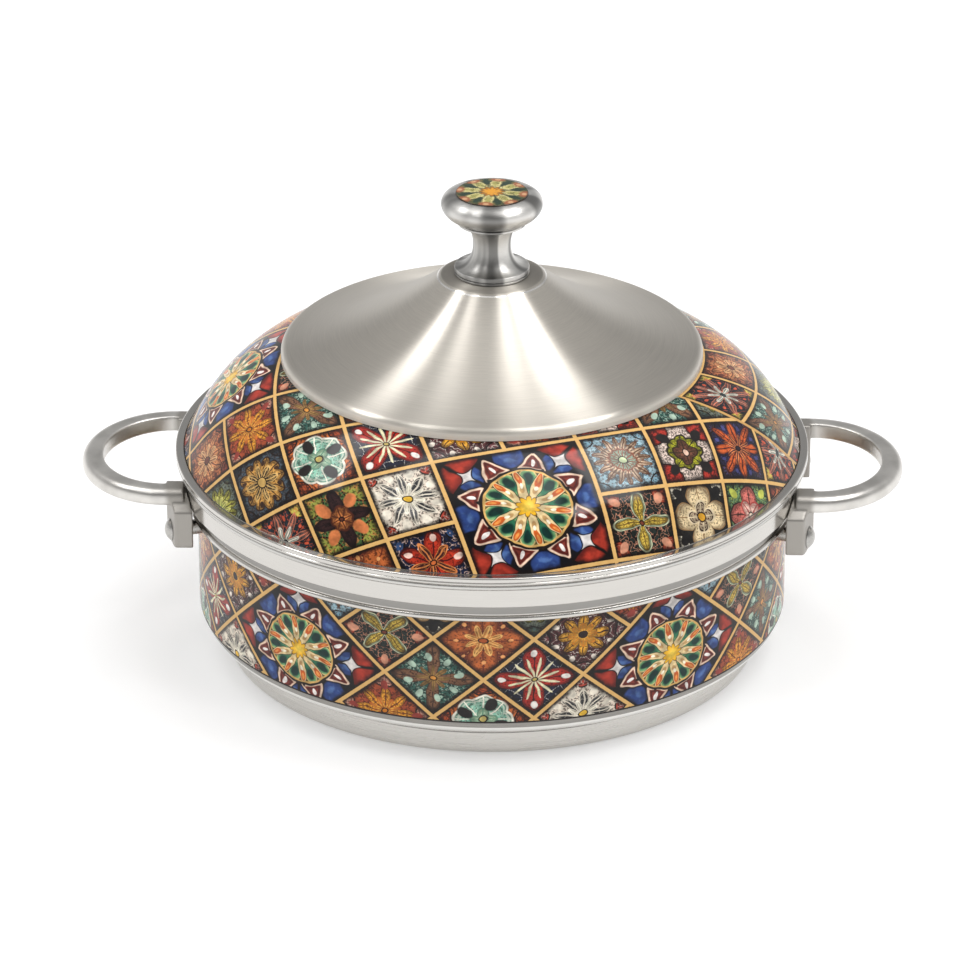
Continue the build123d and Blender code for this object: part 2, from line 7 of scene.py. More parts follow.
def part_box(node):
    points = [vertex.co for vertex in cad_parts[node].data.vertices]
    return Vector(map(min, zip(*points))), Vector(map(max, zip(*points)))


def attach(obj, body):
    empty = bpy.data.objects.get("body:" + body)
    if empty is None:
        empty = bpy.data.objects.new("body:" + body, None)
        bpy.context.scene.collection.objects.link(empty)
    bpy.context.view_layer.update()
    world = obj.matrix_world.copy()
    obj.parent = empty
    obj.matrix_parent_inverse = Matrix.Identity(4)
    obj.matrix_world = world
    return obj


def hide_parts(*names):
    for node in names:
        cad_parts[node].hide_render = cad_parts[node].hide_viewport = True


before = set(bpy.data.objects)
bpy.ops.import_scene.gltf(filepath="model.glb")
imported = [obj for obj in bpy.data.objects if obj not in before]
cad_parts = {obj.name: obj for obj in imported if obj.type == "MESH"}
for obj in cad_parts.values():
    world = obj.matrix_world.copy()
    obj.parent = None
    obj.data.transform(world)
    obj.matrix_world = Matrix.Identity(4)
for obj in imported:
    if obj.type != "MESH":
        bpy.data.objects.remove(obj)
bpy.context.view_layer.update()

# ----------------------------------------------------------------------
# Base pan: a shallow pan pressed from stainless steel, with a bead rolled round its top and a
# foot ring that stands on the table. Its middle is pressed up and has the hole for the foam.
# Like every round piece here, it is drawn as a section and turned about the pot's axis.
# ----------------------------------------------------------------------
mm = 0.001
POT_SHEET = 0.6 * mm


def at(r, z):
    """A point of a section: its radius and its height."""
    return Vector((r, z))


def arc(centre, radii, start, end, steps=8):
    """Points along an ellipse, between two angles in degrees."""
    turns = [radians(start + (end - start) * i / steps) for i in range(steps + 1)]
    return [centre + at(radii[0] * cos(t), radii[1] * sin(t)) for t in turns]


def bow(start, end, rise, steps=32):
    """Points of a round bow that stands out to the right of the way from start to end."""
    way = end - start
    half = 2 * atan(2 * rise / way.length)
    turns = [half * (2 * i / steps - 1) for i in range(steps + 1)]
    out = at(way.y, -way.x)
    return [
        start + way * (0.5 + sin(t) / sin(half) / 2) + out * (cos(t) - cos(half)) / sin(half) / 2
        for t in turns
    ]


def rounded(*corners, steps=6):
    """A line through some points, each rounded off where it is a pair of a point and a radius."""
    places = [c[0] if isinstance(c, tuple) else c for c in corners]
    line = []
    for i, here in enumerate(places):
        if not isinstance(corners[i], tuple):
            line.append(here)
            continue
        back, on = places[i - 1] - here, places[(i + 1) % len(places)] - here
        cut = corners[i][1] / tan(back.angle(on) / 2)
        first, last = here + back.normalized() * cut, here + on.normalized() * cut
        shares = [k / steps for k in range(steps + 1)]
        line += [first.lerp(here, t).lerp(here.lerp(last, t), t) for t in shares]
    return line


def beside(line, gap):
    """The line that runs beside another at a gap: to its left, or right if it is negative."""
    ways = [(b - a).normalized() for a, b in zip(line, line[1:])]
    other = []
    for here, before, after in zip(line, ways[:1] + ways, ways + ways[-1:]):
        side = at(-before.y - after.y, before.x + after.x)
        other.append(here + side * gap / (1 + before.dot(after)))
    return other


def sheet(line, thickness):
    """The outline of sheet metal that lies to the left of a line."""
    return line + beside(line, thickness)[::-1]


def turned(name, outline, steps=256):
    """An outline turned about the pot's axis. Its map holds the turn, from the back round by
    the left, front and right, and how far along the outline each point is."""
    if sum(a.x * b.y - b.x * a.y for a, b in zip(outline, outline[1:] + outline[:1])) < 0:
        outline = outline[::-1]
    points, starts, lengths = [], [], [0.0]
    for here, after in zip(outline, outline[1:] + outline[:1]):
        starts.append(len(points))
        lengths.append(lengths[-1] + (after - here).length)
        turns = [tau * k / steps for k in range(steps)] if here.x > 0.001 * mm else [0]
        points += [(-here.x * sin(t), here.x * cos(t), here.y) for t in turns]
    faces, wraps = [], []
    for i, start in enumerate(starts):
        after = starts[(i + 1) % len(starts)]
        ring, next_ring = outline[i].x > 0.001 * mm, outline[(i + 1) % len(outline)].x > 0.001 * mm
        low, high = lengths[i], lengths[i + 1]
        for k in range(steps if ring or next_ring else 0):
            here, there, m = k / steps, (k + 1) / steps, (k + 1) % steps
            face = [(start, here, low)]
            if ring:
                face = [(start + k, here, low), (start + m, there, low)]
            if next_ring:
                face += [(after + m, there, high), (after + k, here, high)]
            else:
                face.append((after, here, high))
            faces.append([point for point, u, v in face])
            wraps += [value for point, u, v in face for value in (u, v)]
    mesh = bpy.data.meshes.new(name)
    mesh.from_pydata(points, [], faces)
    mesh.uv_layers.new(name="wrap").data.foreach_set("uv", wraps)
    mesh.shade_smooth()
    mesh.set_sharp_from_angle(angle=radians(32))
    piece = bpy.data.objects.new(name, mesh)
    bpy.context.scene.collection.objects.link(piece)
    even = piece.modifiers.new("even normals", "WEIGHTED_NORMAL")
    even.keep_sharp = True
    return piece


def operator(operation, reflected=False):
    """A method that puts itself and another value through a maths node, in turned order where
    it is reflected."""

    def method(self, other):
        return self.math(operation, *((other, self) if reflected else (self, other)))

    return method


class Shade:
    """A value, colour or vector in a material, held as the socket that gives it."""

    def __init__(self, tree, socket=None):
        self.tree, self.socket = tree, socket

    def node(self, kind, settings, inputs, output=0):
        """Any node: its settings, with a ramp's stops, then its sockets' values or links."""
        made = self.tree.nodes.new("ShaderNode" + kind)
        for key, value in settings.items():
            if key == "stops":
                made.color_ramp.elements.remove(made.color_ramp.elements[1])
                for place, colour in value[1:]:
                    made.color_ramp.elements.new(place).color = colour
                made.color_ramp.elements[0].color = value[0][1]
            elif key == "interpolation":
                made.color_ramp.interpolation = value
            else:
                setattr(made, key, value)
        for key, value in inputs.items():
            if isinstance(value, Shade):
                self.tree.links.new(value.socket, made.inputs[key])
            else:
                made.inputs[key].default_value = value
        return Shade(self.tree, made.outputs[output])

    def math(self, operation, *values):
        return self.node("Math", {"operation": operation}, dict(enumerate(values)))

    __add__ = __radd__ = operator("ADD")
    __sub__, __rsub__ = operator("SUBTRACT"), operator("SUBTRACT", reflected=True)
    __mul__ = __rmul__ = operator("MULTIPLY")
    __truediv__, __rtruediv__ = operator("DIVIDE"), operator("DIVIDE", reflected=True)
    __pow__ = operator("POWER")
    __gt__, __lt__ = operator("GREATER_THAN"), operator("LESS_THAN")
    __or__, __and__ = operator("MAXIMUM"), operator("MINIMUM")

    def __abs__(self):
        return self.math("ABSOLUTE", self)

    def mix(self, low, high, share, blend="MIX"):
        """A colour that goes from low to high with a share."""
        settings = {"data_type": "RGBA", "blend_type": blend}
        return self.node("Mix", settings, {0: share, 6: low, 7: high}, 2)

    def fade(self, value, start, end, low=0.0, high=1.0):
        """A smooth step in a value, from low at start to high at end."""
        settings = {"interpolation_type": "SMOOTHSTEP"}
        return self.node("MapRange", settings, {0: value, 1: start, 2: end, 3: low, 4: high})

    def place(self, output="Object"):
        """Where a point of the piece is."""
        return self.node("TexCoord", {}, {}, output)

    def parts(self, vector):
        """The three values of a vector."""
        return [self.node("SeparateXYZ", {}, {0: vector}, i) for i in range(3)]

    def vector(self, x, y, z):
        return self.node("CombineXYZ", {}, {0: x, 1: y, 2: z})

    def noise(self, place, scale, detail=2.0, output=0):
        inputs = {"Vector": place, "Scale": scale, "Detail": detail}
        return self.node("TexNoise", {}, inputs, output)

    def bump(self, strength, distance, height):
        """A normal raised by a height."""
        return self.node("Bump", {}, {"Strength": strength, "Distance": distance, "Height": height})


def paint(red, green, blue):
    """A colour from its screen values, 0 to 255."""
    screen = (red, green, blue)
    return tuple(((c + 14) / 269) ** 2.4 if c > 10 else c / 3295 for c in screen) + (1.0,)


def finish(name, **settings):
    """A new material, its shader with some sockets set, and a Shade to draw its nodes with."""
    material = bpy.data.materials.new(name)
    material.use_nodes = True
    shader = material.node_tree.nodes["Principled BSDF"]
    for key, value in settings.items():
        shader.inputs[key.replace("_", " ")].default_value = value
    return material, shader, Shade(material.node_tree)


def feed(shader, **shades):
    """Links shades to the shader's sockets."""
    for key, shade in shades.items():
        shade.tree.links.new(shade.socket, shader.inputs[key.replace("_", " ")])


def turned_steel(
    name, colour, gloss, brushing,
    grain=0.25 * mm, height=0.15, smears=0.06, depth=0.9, painted_shade=None, painted_highlight=None, painted_bands=0.0,
):
    """Stainless steel finished on a lathe or a wheel: fine rings round the axis that break off
    here and there, with soft smears of handling over them. The last three arguments give a range
    of heights drawn darker and rougher as painted shade, with the share of the colour left there,
    a range drawn lighter and glossier as a painted highlight, and how strongly soft upright bands
    of painted reflection darken the piece."""
    settings = dict(Metallic=1.0, Anisotropic=brushing, Anisotropic_Rotation=0.25)
    material, shader, shade = finish(name, **settings)
    place = shade.place()
    x, y, z = shade.parts(place)
    radius, turn = (x * x + y * y) ** 0.5, shade.math("ARCTAN2", x, y)
    fine = shade.noise(shade.vector(radius / grain, z / grain, turn * 7), 1.0, 3.0)
    broad = shade.noise(shade.vector(radius / grain / 5, z / grain / 5, turn * 2), 1.0, 2.0)
    cloud = shade.noise(place, 38.0, 3.0)
    rings = fine * 0.65 + broad * 0.35

    def tint(share):
        return paint(*[c * share for c in colour])

    tone = shade.mix(tint(depth), tint(1), shade.fade(rings, 0.3, 0.7))
    rough = gloss + (rings - 0.5) * gloss * 0.7 + (cloud - 0.5) * smears
    # painted shade: a band of heights drawn darker and rougher
    if painted_shade:
        low, high, share = painted_shade
        shade_mask = shade.fade(z, low, low + 0.3 * mm) * shade.fade(z, high, high - 0.5 * mm)
        tone = shade.mix(tone, tint(share), shade_mask)
        rough = rough + shade_mask * 0.25
    # painted highlight: a band of heights drawn lighter and glossier
    if painted_highlight:
        low, high = painted_highlight
        polished = shade.fade(z, low, low + 0.3 * mm) * shade.fade(z, high, high - 0.3 * mm)
        tone = shade.mix(tone, paint(238, 236, 232), polished)
        rough = rough - polished * gloss * 0.6
    # painted reflection: soft upright bands drawn darker round the piece
    if painted_bands:
        wide = shade.noise(shade.vector(x / radius * 1.8, y / radius * 1.8, z * 9), 1.0, 1.0)
        tone = shade.mix(tone, tint(1 - painted_bands), shade.fade(wide, 0.4, 0.62))
    feed(shader, Base_Color=tone, Roughness=rough, Normal=shade.bump(height, 0.05 * mm, rings))
    return material


def fixed(piece, body, slot, material, *nodes):
    """Fixes a piece to its body, with its material, in place of some CAD nodes. slot is not used.
    """
    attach(piece, body)
    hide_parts(*nodes)
    piece.data.materials.clear()
    piece.data.materials.append(material)


base_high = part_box("base_pan")[1]
BASE_SIDE = base_high.x - 1.5 * mm
BASE_TOP = base_high.z
SEAM = BASE_SIDE - 4.5 * mm
FOOT_CORNER = 2.5 * mm
FOOT_RING = 13 * mm
FLOOR_RISE = 1.5 * mm
FILL_HOLE = 8 * mm
PAN_BEAD = 1.1 * mm

ring_edge = BASE_SIDE - FOOT_CORNER
pressed = ring_edge - FOOT_RING
middle = rounded(
    at(FILL_HOLE, FLOOR_RISE),
    (at(pressed - FLOOR_RISE, FLOOR_RISE), 1 * mm),
    (at(pressed, 0), 1 * mm),
    at(ring_edge, 0),
)
pan_outside = [
    *middle[:-1],
    *arc(at(ring_edge, FOOT_CORNER), (FOOT_CORNER, FOOT_CORNER), -90, 0),
    *arc(at(BASE_SIDE + 0.4 * mm, BASE_TOP - PAN_BEAD), (PAN_BEAD, PAN_BEAD), -112, 90, 16),
    at(SEAM, BASE_TOP),
]
pan_inside = [
    at(SEAM, BASE_TOP - POT_SHEET),
    at(BASE_SIDE - POT_SHEET, BASE_TOP - POT_SHEET),
    *arc(at(ring_edge, FOOT_CORNER), (FOOT_CORNER - POT_SHEET, FOOT_CORNER - POT_SHEET), 0, -90),
    at(pressed, POT_SHEET),
    at(pressed - FLOOR_RISE, FLOOR_RISE + POT_SHEET),
    at(FILL_HOLE, FLOOR_RISE + POT_SHEET),
]
# The crease under the bead is drawn darker as painted shade, and the bead's top lighter as a
# painted highlight.
base_steel = turned_steel(
    "satin base steel", (214, 211, 206), 0.28, 0.7, height=0.04, depth=0.95,
    painted_shade=(BASE_TOP - 3 * mm, BASE_TOP - 2.1 * mm, 0.55),
    painted_highlight=(BASE_TOP - 2 * mm, BASE_TOP - 0.3 * mm),
)
base = turned("base_pan_pressed", pan_outside + pan_inside)
fixed(base, "pot", "base_steel", base_steel, "base_pan")

# ----------------------------------------------------------------------
# Fill plug: a stepped plug of dark rubber. It is pushed into the hole in the pan once the foam
# has been poured in and has set.
# ----------------------------------------------------------------------


def kept(node, material):
    """Gives a CAD node a better material."""
    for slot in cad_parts[node].material_slots:
        slot.material = material


def rubber():
    material, shader, shade = finish("plug rubber", Specular_IOR_Level=0.4)
    place = shade.place()
    grain, cloud = shade.noise(place, 2200.0, 3.0), shade.noise(place, 160.0, 3.0)
    feed(
        shader,
        Base_Color=shade.mix(paint(38, 37, 36), paint(62, 60, 58), shade.fade(cloud, 0.3, 0.7)),
        Roughness=0.62 + (cloud - 0.5) * 0.25,
        Normal=shade.bump(0.3, 0.1 * mm, grain),
    )
    return material


kept("fill_plug", rubber())

# ----------------------------------------------------------------------
# Outer wall: a sleeve of thin stainless steel, rolled round and welded. Its foot turns in over
# a soft shoulder and is seamed to the base pan.
# ----------------------------------------------------------------------
SHOULDER = 9 * mm

wall_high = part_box("outer_wall")[1]
WALL = wall_high.x
wall_line = [
    at(SEAM, BASE_TOP),
    *arc(at(WALL - SHOULDER, BASE_TOP + SHOULDER), (SHOULDER, SHOULDER), -90, 0, 12),
    at(WALL, wall_high.z),
]
# Its colour is darker than the other steel, as painted shade on the shoulder that turns in under
# the pot, and a band at the shoulder's foot by the seam is drawn lighter as a painted highlight.
wall_steel = turned_steel(
    "wall steel", (160, 157, 152), 0.2, 0.5, height=0.03, smears=0.05,
    painted_highlight=(BASE_TOP - POT_SHEET, BASE_TOP + 5.2 * mm),
)
wall = turned("outer_wall_rolled", sheet(wall_line, POT_SHEET))
fixed(wall, "pot", "wall_steel", wall_steel, "outer_wall")

# ----------------------------------------------------------------------
# Wall film: thin glossy film with a patchwork of painted tiles, laid round the wall. Its seam is
# at the back, its foot ends where the wall turns in, and its top runs up behind the collar.
# ----------------------------------------------------------------------
film_low, film_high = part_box("wall_film")
FILM_TURN = 1.2 * mm  # how far the film goes on where the wall turns in
DARK = (20, 12, 10)


def motif(ground, corner, outer, inner, heart, dabs):
    """One painted tile. outer and inner are rosettes: number of petals, reach, waist, how sharp
    the petals are, whether they point to the tile's corners, their colour and their edge's.
    corner and heart are a size and a colour, dabs a number, distance, size, turn and colour."""
    return {
        "ground": ground,
        "corner": corner[1],
        "outer": outer[5],
        "outer edge": outer[6],
        "inner": inner[5],
        "inner edge": inner[6],
        "heart": heart[1],
        "dabs": dabs[4],
        "outer form": (outer[0] / 16, outer[1] / 2, outer[2], outer[3] / 4),
        "inner form": (inner[0] / 16, inner[1] / 2, inner[2], inner[3] / 4),
        "dab form": (dabs[0] / 16, dabs[1] / 2, dabs[2], dabs[3]),
        "sizes": (outer[4], inner[4], corner[0], heart[0]),
    }


MOTIFS = {
    "sunburst": motif(
        ground=(128, 60, 38),
        corner=(0.30, (96, 42, 32)),
        outer=(4, 1.30, 0.45, 1.2, 1, (190, 100, 50), (104, 44, 28)),
        inner=(8, 0.60, 0.35, 1.6, 1, (214, 132, 66), (244, 190, 110)),
        heart=(0.10, (180, 86, 40)),
        dabs=(8, 0.86, 0.06, 0, (236, 164, 100)),
    ),
    "teal cross": motif(
        ground=(50, 92, 82),
        corner=(0.30, (34, 66, 60)),
        outer=(4, 1.30, 0.10, 3.0, 1, (132, 92, 66), (62, 44, 36)),
        inner=(8, 0.52, 0.25, 1.6, 0, (196, 150, 84), (110, 84, 50)),
        heart=(0.10, (222, 150, 66)),
        dabs=(8, 0.80, 0.11, 0.5, (176, 200, 180)),
    ),
    "red lily": motif(
        ground=(26, 32, 54),
        corner=(0.20, (30, 28, 46)),
        outer=(4, 1.28, 0.12, 1.2, 1, (176, 44, 34), (58, 14, 18)),
        inner=(12, 0.80, 0.06, 3.4, 0, (222, 214, 168), (236, 228, 190)),
        heart=(0.08, (214, 190, 110)),
        dabs=(4, 1.02, 0.10, 1, (240, 234, 226)),
    ),
    "red star": motif(
        ground=(24, 34, 62),
        corner=(0.40, (52, 76, 116)),
        outer=(5, 1.05, 0.14, 0.9, 0, (186, 52, 30), (64, 16, 18)),
        inner=(5, 0.72, 0.10, 2.4, 1, (70, 30, 30), (214, 130, 70)),
        heart=(0.08, (214, 110, 56)),
        dabs=(5, 0.80, 0.10, 0, (244, 206, 190)),
    ),
    "daisy": motif(
        ground=(84, 44, 46),
        corner=(0.34, (110, 62, 66)),
        outer=(8, 0.86, 0.42, 0.8, 0, (230, 166, 56), (48, 20, 14)),
        inner=(8, 0.44, 0.55, 1.0, 0, (240, 184, 76), (206, 128, 36)),
        heart=(0.14, (38, 24, 22)),
        dabs=(8, 0.98, 0.09, 1, (236, 224, 210)),
    ),
    "yellow lily": motif(
        ground=(36, 44, 40),
        corner=(0.46, (160, 66, 44)),
        outer=(4, 0.98, 0.10, 2.2, 0, (84, 110, 80), (210, 214, 176)),
        inner=(4, 0.90, 0.06, 4.0, 0, (214, 182, 76), (104, 80, 34)),
        heart=(0.08, (130, 66, 46)),
        dabs=(4, 1.06, 0.14, 1, (216, 150, 120)),
    ),
    "gold rosette": motif(
        ground=(72, 84, 94),
        corner=(0.36, (44, 50, 58)),
        outer=(12, 0.92, 0.74, 0.6, 0, (212, 156, 78), (50, 32, 22)),
        inner=(8, 0.64, 0.30, 1.0, 0, (44, 32, 28), (220, 178, 108)),
        heart=(0.20, (196, 158, 90)),
        dabs=(8, 0.72, 0.07, 1, (60, 38, 26)),
    ),
    "mint dome": motif(
        ground=(200, 104, 48),
        corner=(0.44, (176, 76, 36)),
        outer=(8, 0.92, 0.90, 0.8, 0, (142, 196, 172), (238, 234, 216)),
        inner=(4, 0.42, 0.50, 1.0, 1, (182, 212, 176), (96, 140, 116)),
        heart=(0.12, (214, 192, 112)),
        dabs=(4, 0.62, 0.19, 0.5, (34, 28, 28)),
    ),
    "lattice": motif(
        ground=(222, 206, 188),
        corner=(0.34, (190, 76, 60)),
        outer=(8, 0.94, 0.24, 1.6, 0, (58, 58, 60), (230, 220, 202)),
        inner=(8, 0.54, 0.20, 1.7, 1, (236, 224, 196), (246, 240, 222)),
        heart=(0.12, (232, 184, 60)),
        dabs=(8, 0.88, 0.13, 1, (238, 228, 210)),
    ),
    "flames": motif(
        ground=(78, 110, 62),
        corner=(0.66, (146, 150, 66)),
        outer=(4, 0.98, 0.34, 3.0, 0, (50, 30, 30), (34, 20, 22)),
        inner=(8, 0.40, 0.86, 1.0, 0, (196, 118, 62), (84, 40, 26)),
        heart=(0.07, (84, 40, 28)),
        dabs=(4, 0.68, 0.20, 1, (206, 120, 70)),
    ),
    "orange flower": motif(
        ground=(164, 74, 42),
        corner=(0.44, (226, 164, 140)),
        outer=(8, 1.00, 0.30, 1.1, 0, (236, 160, 50), (96, 36, 20)),
        inner=(8, 0.52, 0.30, 1.4, 1, (244, 186, 74), (196, 100, 36)),
        heart=(0.10, (224, 132, 36)),
        dabs=(4, 1.04, 0.12, 1, (150, 60, 50)),
    ),
    "pale sun": motif(
        ground=(156, 188, 200),
        corner=(0.34, (128, 166, 182)),
        outer=(16, 0.90, 0.52, 0.9, 0, (214, 184, 154), (96, 62, 44)),
        inner=(16, 0.44, 0.84, 1.0, 0, (174, 212, 184), (132, 74, 52)),
        heart=(0.14, (206, 222, 170)),
        dabs=(16, 0.62, 0.04, 1, (120, 84, 66)),
    ),
    "lime ring": motif(
        ground=(228, 206, 192),
        corner=(0.66, (176, 50, 38)),
        outer=(8, 0.64, 0.86, 1.0, 0, (202, 200, 40), (44, 38, 26)),
        inner=(4, 0.46, 0.60, 1.0, 0, (120, 74, 56), (52, 40, 22)),
        heart=(0.12, (240, 200, 176)),
        dabs=(4, 0.84, 0.17, 1, (32, 26, 26)),
    ),
    "hearts": motif(
        ground=(34, 32, 28),
        corner=(0.42, (238, 230, 208)),
        outer=(4, 1.04, 0.40, 0.5, 0, (228, 204, 160), (142, 110, 74)),
        inner=(4, 0.52, 0.22, 0.5, 0, (78, 44, 36), (226, 206, 170)),
        heart=(0.14, (214, 156, 44)),
        dabs=(4, 1.06, 0.17, 1, (26, 24, 24)),
    ),
    "night flower": motif(
        ground=(40, 34, 62),
        corner=(0.40, (72, 48, 50)),
        outer=(8, 1.10, 0.18, 1.4, 0, (212, 96, 44), (62, 22, 24)),
        inner=(8, 0.62, 0.22, 1.7, 1, (236, 138, 76), (54, 28, 44)),
        heart=(0.09, (36, 26, 38)),
        dabs=(8, 0.84, 0.07, 1, (70, 70, 124)),
    ),
    "pink star": motif(
        ground=(100, 134, 92),
        corner=(0.40, (76, 104, 70)),
        outer=(4, 0.94, 0.46, 0.9, 0, (210, 112, 100), (50, 32, 28)),
        inner=(4, 0.52, 0.46, 1.0, 1, (238, 194, 178), (164, 62, 58)),
        heart=(0.10, (244, 220, 196)),
        dabs=(4, 1.00, 0.14, 1, (190, 196, 84)),
    ),
    "moss": motif(
        ground=(104, 112, 100),
        corner=(0.38, (66, 82, 76)),
        outer=(12, 0.90, 0.66, 0.8, 0, (186, 182, 78), (62, 60, 32)),
        inner=(12, 0.54, 0.50, 1.0, 1, (116, 140, 58), (214, 206, 116)),
        heart=(0.16, (212, 184, 74)),
        dabs=(12, 0.70, 0.05, 0, (84, 74, 34)),
    ),
    "filigree": motif(
        ground=(190, 110, 68),
        corner=(0.36, (142, 66, 46)),
        outer=(8, 0.96, 0.45, 1.3, 0, (216, 142, 90), (88, 42, 32)),
        inner=(8, 0.58, 0.30, 1.2, 1, (150, 76, 50), (236, 184, 128)),
        heart=(0.14, (118, 58, 40)),
        dabs=(8, 0.90, 0.09, 1, (92, 46, 34)),
    ),
    "night cross": motif(
        ground=(38, 44, 50),
        corner=(0.42, (208, 192, 88)),
        outer=(8, 1.06, 0.20, 2.2, 0, (92, 70, 66), (210, 124, 96)),
        inner=(8, 0.54, 0.16, 2.0, 0, (70, 100, 88), (220, 212, 196)),
        heart=(0.10, (46, 60, 62)),
        dabs=(8, 0.80, 0.06, 1, (216, 90, 58)),
    ),
}
MEDALLION = "daisy"  # four tiles of each block hold one large medallion instead
PATCHWORK = [
    *(MEDALLION, MEDALLION, "pale sun", "lime ring"),
    *("night flower", "night cross", "flames", "lattice"),
    *(MEDALLION, MEDALLION, "yellow lily", "hearts"),
    *("pink star", "filigree", "sunburst", "red star"),
    *("filigree", "orange flower", "teal cross", "sunburst"),
    *("moss", "hearts", "yellow lily", "night cross"),
    *("moss", "gold rosette", "mint dome", "red lily"),
    *("daisy", "orange flower", "lime ring", "teal cross"),
]  # four rows of eight


def lookup(shade, number, key):
    """What each tile of the patchwork has under a key, picked by its number."""
    stops = []
    for k, name in enumerate(PATCHWORK):
        value = MOTIFS[name][key]
        stops.append((k / 32, paint(*value) if len(value) == 3 else value))
    ramp = shade.node("ValToRGB", {"interpolation": "CONSTANT", "stops": stops}, {0: number})
    return ramp, Shade(shade.tree, ramp.socket.node.outputs["Alpha"])


def petals(shade, angle, count, reach, waist, sharp, turn):
    """How far the edge of a rosette is from its middle, in the direction of an angle."""
    lobe = shade.math("COSINE", angle * count / 2 + turn * (pi / 2))
    return reach * (waist + (1 - waist) * abs(lobe) ** sharp)


def folded(shade, angle, radius, count, turn):
    """A place in one of the equal sectors round the middle: along its middle line, and off it."""
    share = angle * count / tau + turn / 2
    off = (share - shade.math("ROUND", share)) * tau / count
    return radius * shade.math("COSINE", off), radius * shade.math("SINE", off)


def painted(shade, under, colour, inside, soft=0.03):
    """Paint laid over what is under it, where inside is above zero."""
    return shade.mix(under, colour, shade.fade(inside, -soft, soft))


def outlined(shade, under, colour, inside, width=0.035):
    """A painted line where inside is near zero."""
    return shade.mix(under, colour, shade.fade(abs(inside), width * 1.5, width * 0.5))


def blob(shade, x, y, width, height):
    """Above zero inside an oval about x = 0 and y = 0."""
    return 1 - ((x / width) ** 2 + (y / height) ** 2) ** 0.5


def ovals(shade, colour, along, off, rows):
    """Ovals painted one by one, a row for each: colour, distance, width, height and softness."""
    for tint, distance, width, height, soft in rows:
        oval = blob(shade, along - distance, off, width, height)
        colour = painted(shade, colour, paint(*tint), oval, soft)
    return colour


def small_tile(shade, number, u, v):
    """A tile drawn by its motif: ground, corners, two rosettes, dabs and a heart."""

    def look(key):
        return lookup(shade, number, key)[0]

    radius, angle = (u * u + v * v) ** 0.5, shade.math("ARCTAN2", v, u)
    mirrored = shade.vector(abs(u) | abs(v), abs(u) & abs(v), number * 40)
    curls, fine = shade.noise(mirrored, 4.5, 2.0), shade.noise(mirrored, 13.0, 1.0)
    sizes, heart_size = lookup(shade, number, "sizes")
    turn, inner_turn, corner_size = shade.parts(sizes)
    # ground and corners
    corner = corner_size - ((1 - abs(u)) ** 2 + (1 - abs(v)) ** 2) ** 0.5
    colour = painted(shade, look("ground"), look("corner"), corner)
    colour = outlined(shade, colour, paint(*DARK), corner, 0.025)
    colour = shade.mix(colour, look("dabs"), shade.fade(abs(curls - 0.5), 0.03, 0.015) * 0.7)
    colour = shade.mix(colour, paint(*DARK), shade.fade(fine, 0.49, 0.58) * 0.75)
    # the two rosettes, each with a line along its petals
    for name, way in (("outer", turn), ("inner", inner_turn)):
        form, sharp = lookup(shade, number, name + " form")
        count, reach, waist = shade.parts(form)
        count = count * 16
        inside = petals(shade, angle, count, reach * 2, waist, sharp * 4, way) - radius
        edge = look(name + " edge")
        colour = painted(shade, colour, look(name), inside)
        along, off = folded(shade, angle, radius, count, way)
        strokes = shade.fade(abs(off), 0.03, 0.01)
        strokes = strokes | shade.fade(abs(curls - 0.44), 0.025, 0.01) * 0.6
        strokes = strokes | shade.fade(abs(inside - 0.11), 0.03, 0.015) * 0.5
        shadow = shade.fade(inside, 0.28, 0.0, 0.0, 0.55) | shade.fade(fine, 0.53, 0.62, 0.0, 0.7)
        colour = shade.mix(colour, paint(*DARK), shadow * shade.fade(inside, 0.0, 0.03))
        colour = shade.mix(colour, edge, strokes * shade.fade(inside, 0.0, 0.06))
        colour = outlined(shade, colour, edge, inside)
    # dabs and heart
    form, dab_turn = lookup(shade, number, "dab form")
    count, distance, size = shade.parts(form)
    along, off = folded(shade, angle, radius, count * 16, dab_turn)
    dab = blob(shade, along - distance * 2, off, size * 1.4, size)
    colour = painted(shade, colour, look("dabs"), dab, 0.12)
    colour = painted(shade, colour, look("heart"), heart_size - radius)
    return outlined(shade, colour, paint(*DARK), heart_size - radius, 0.02)


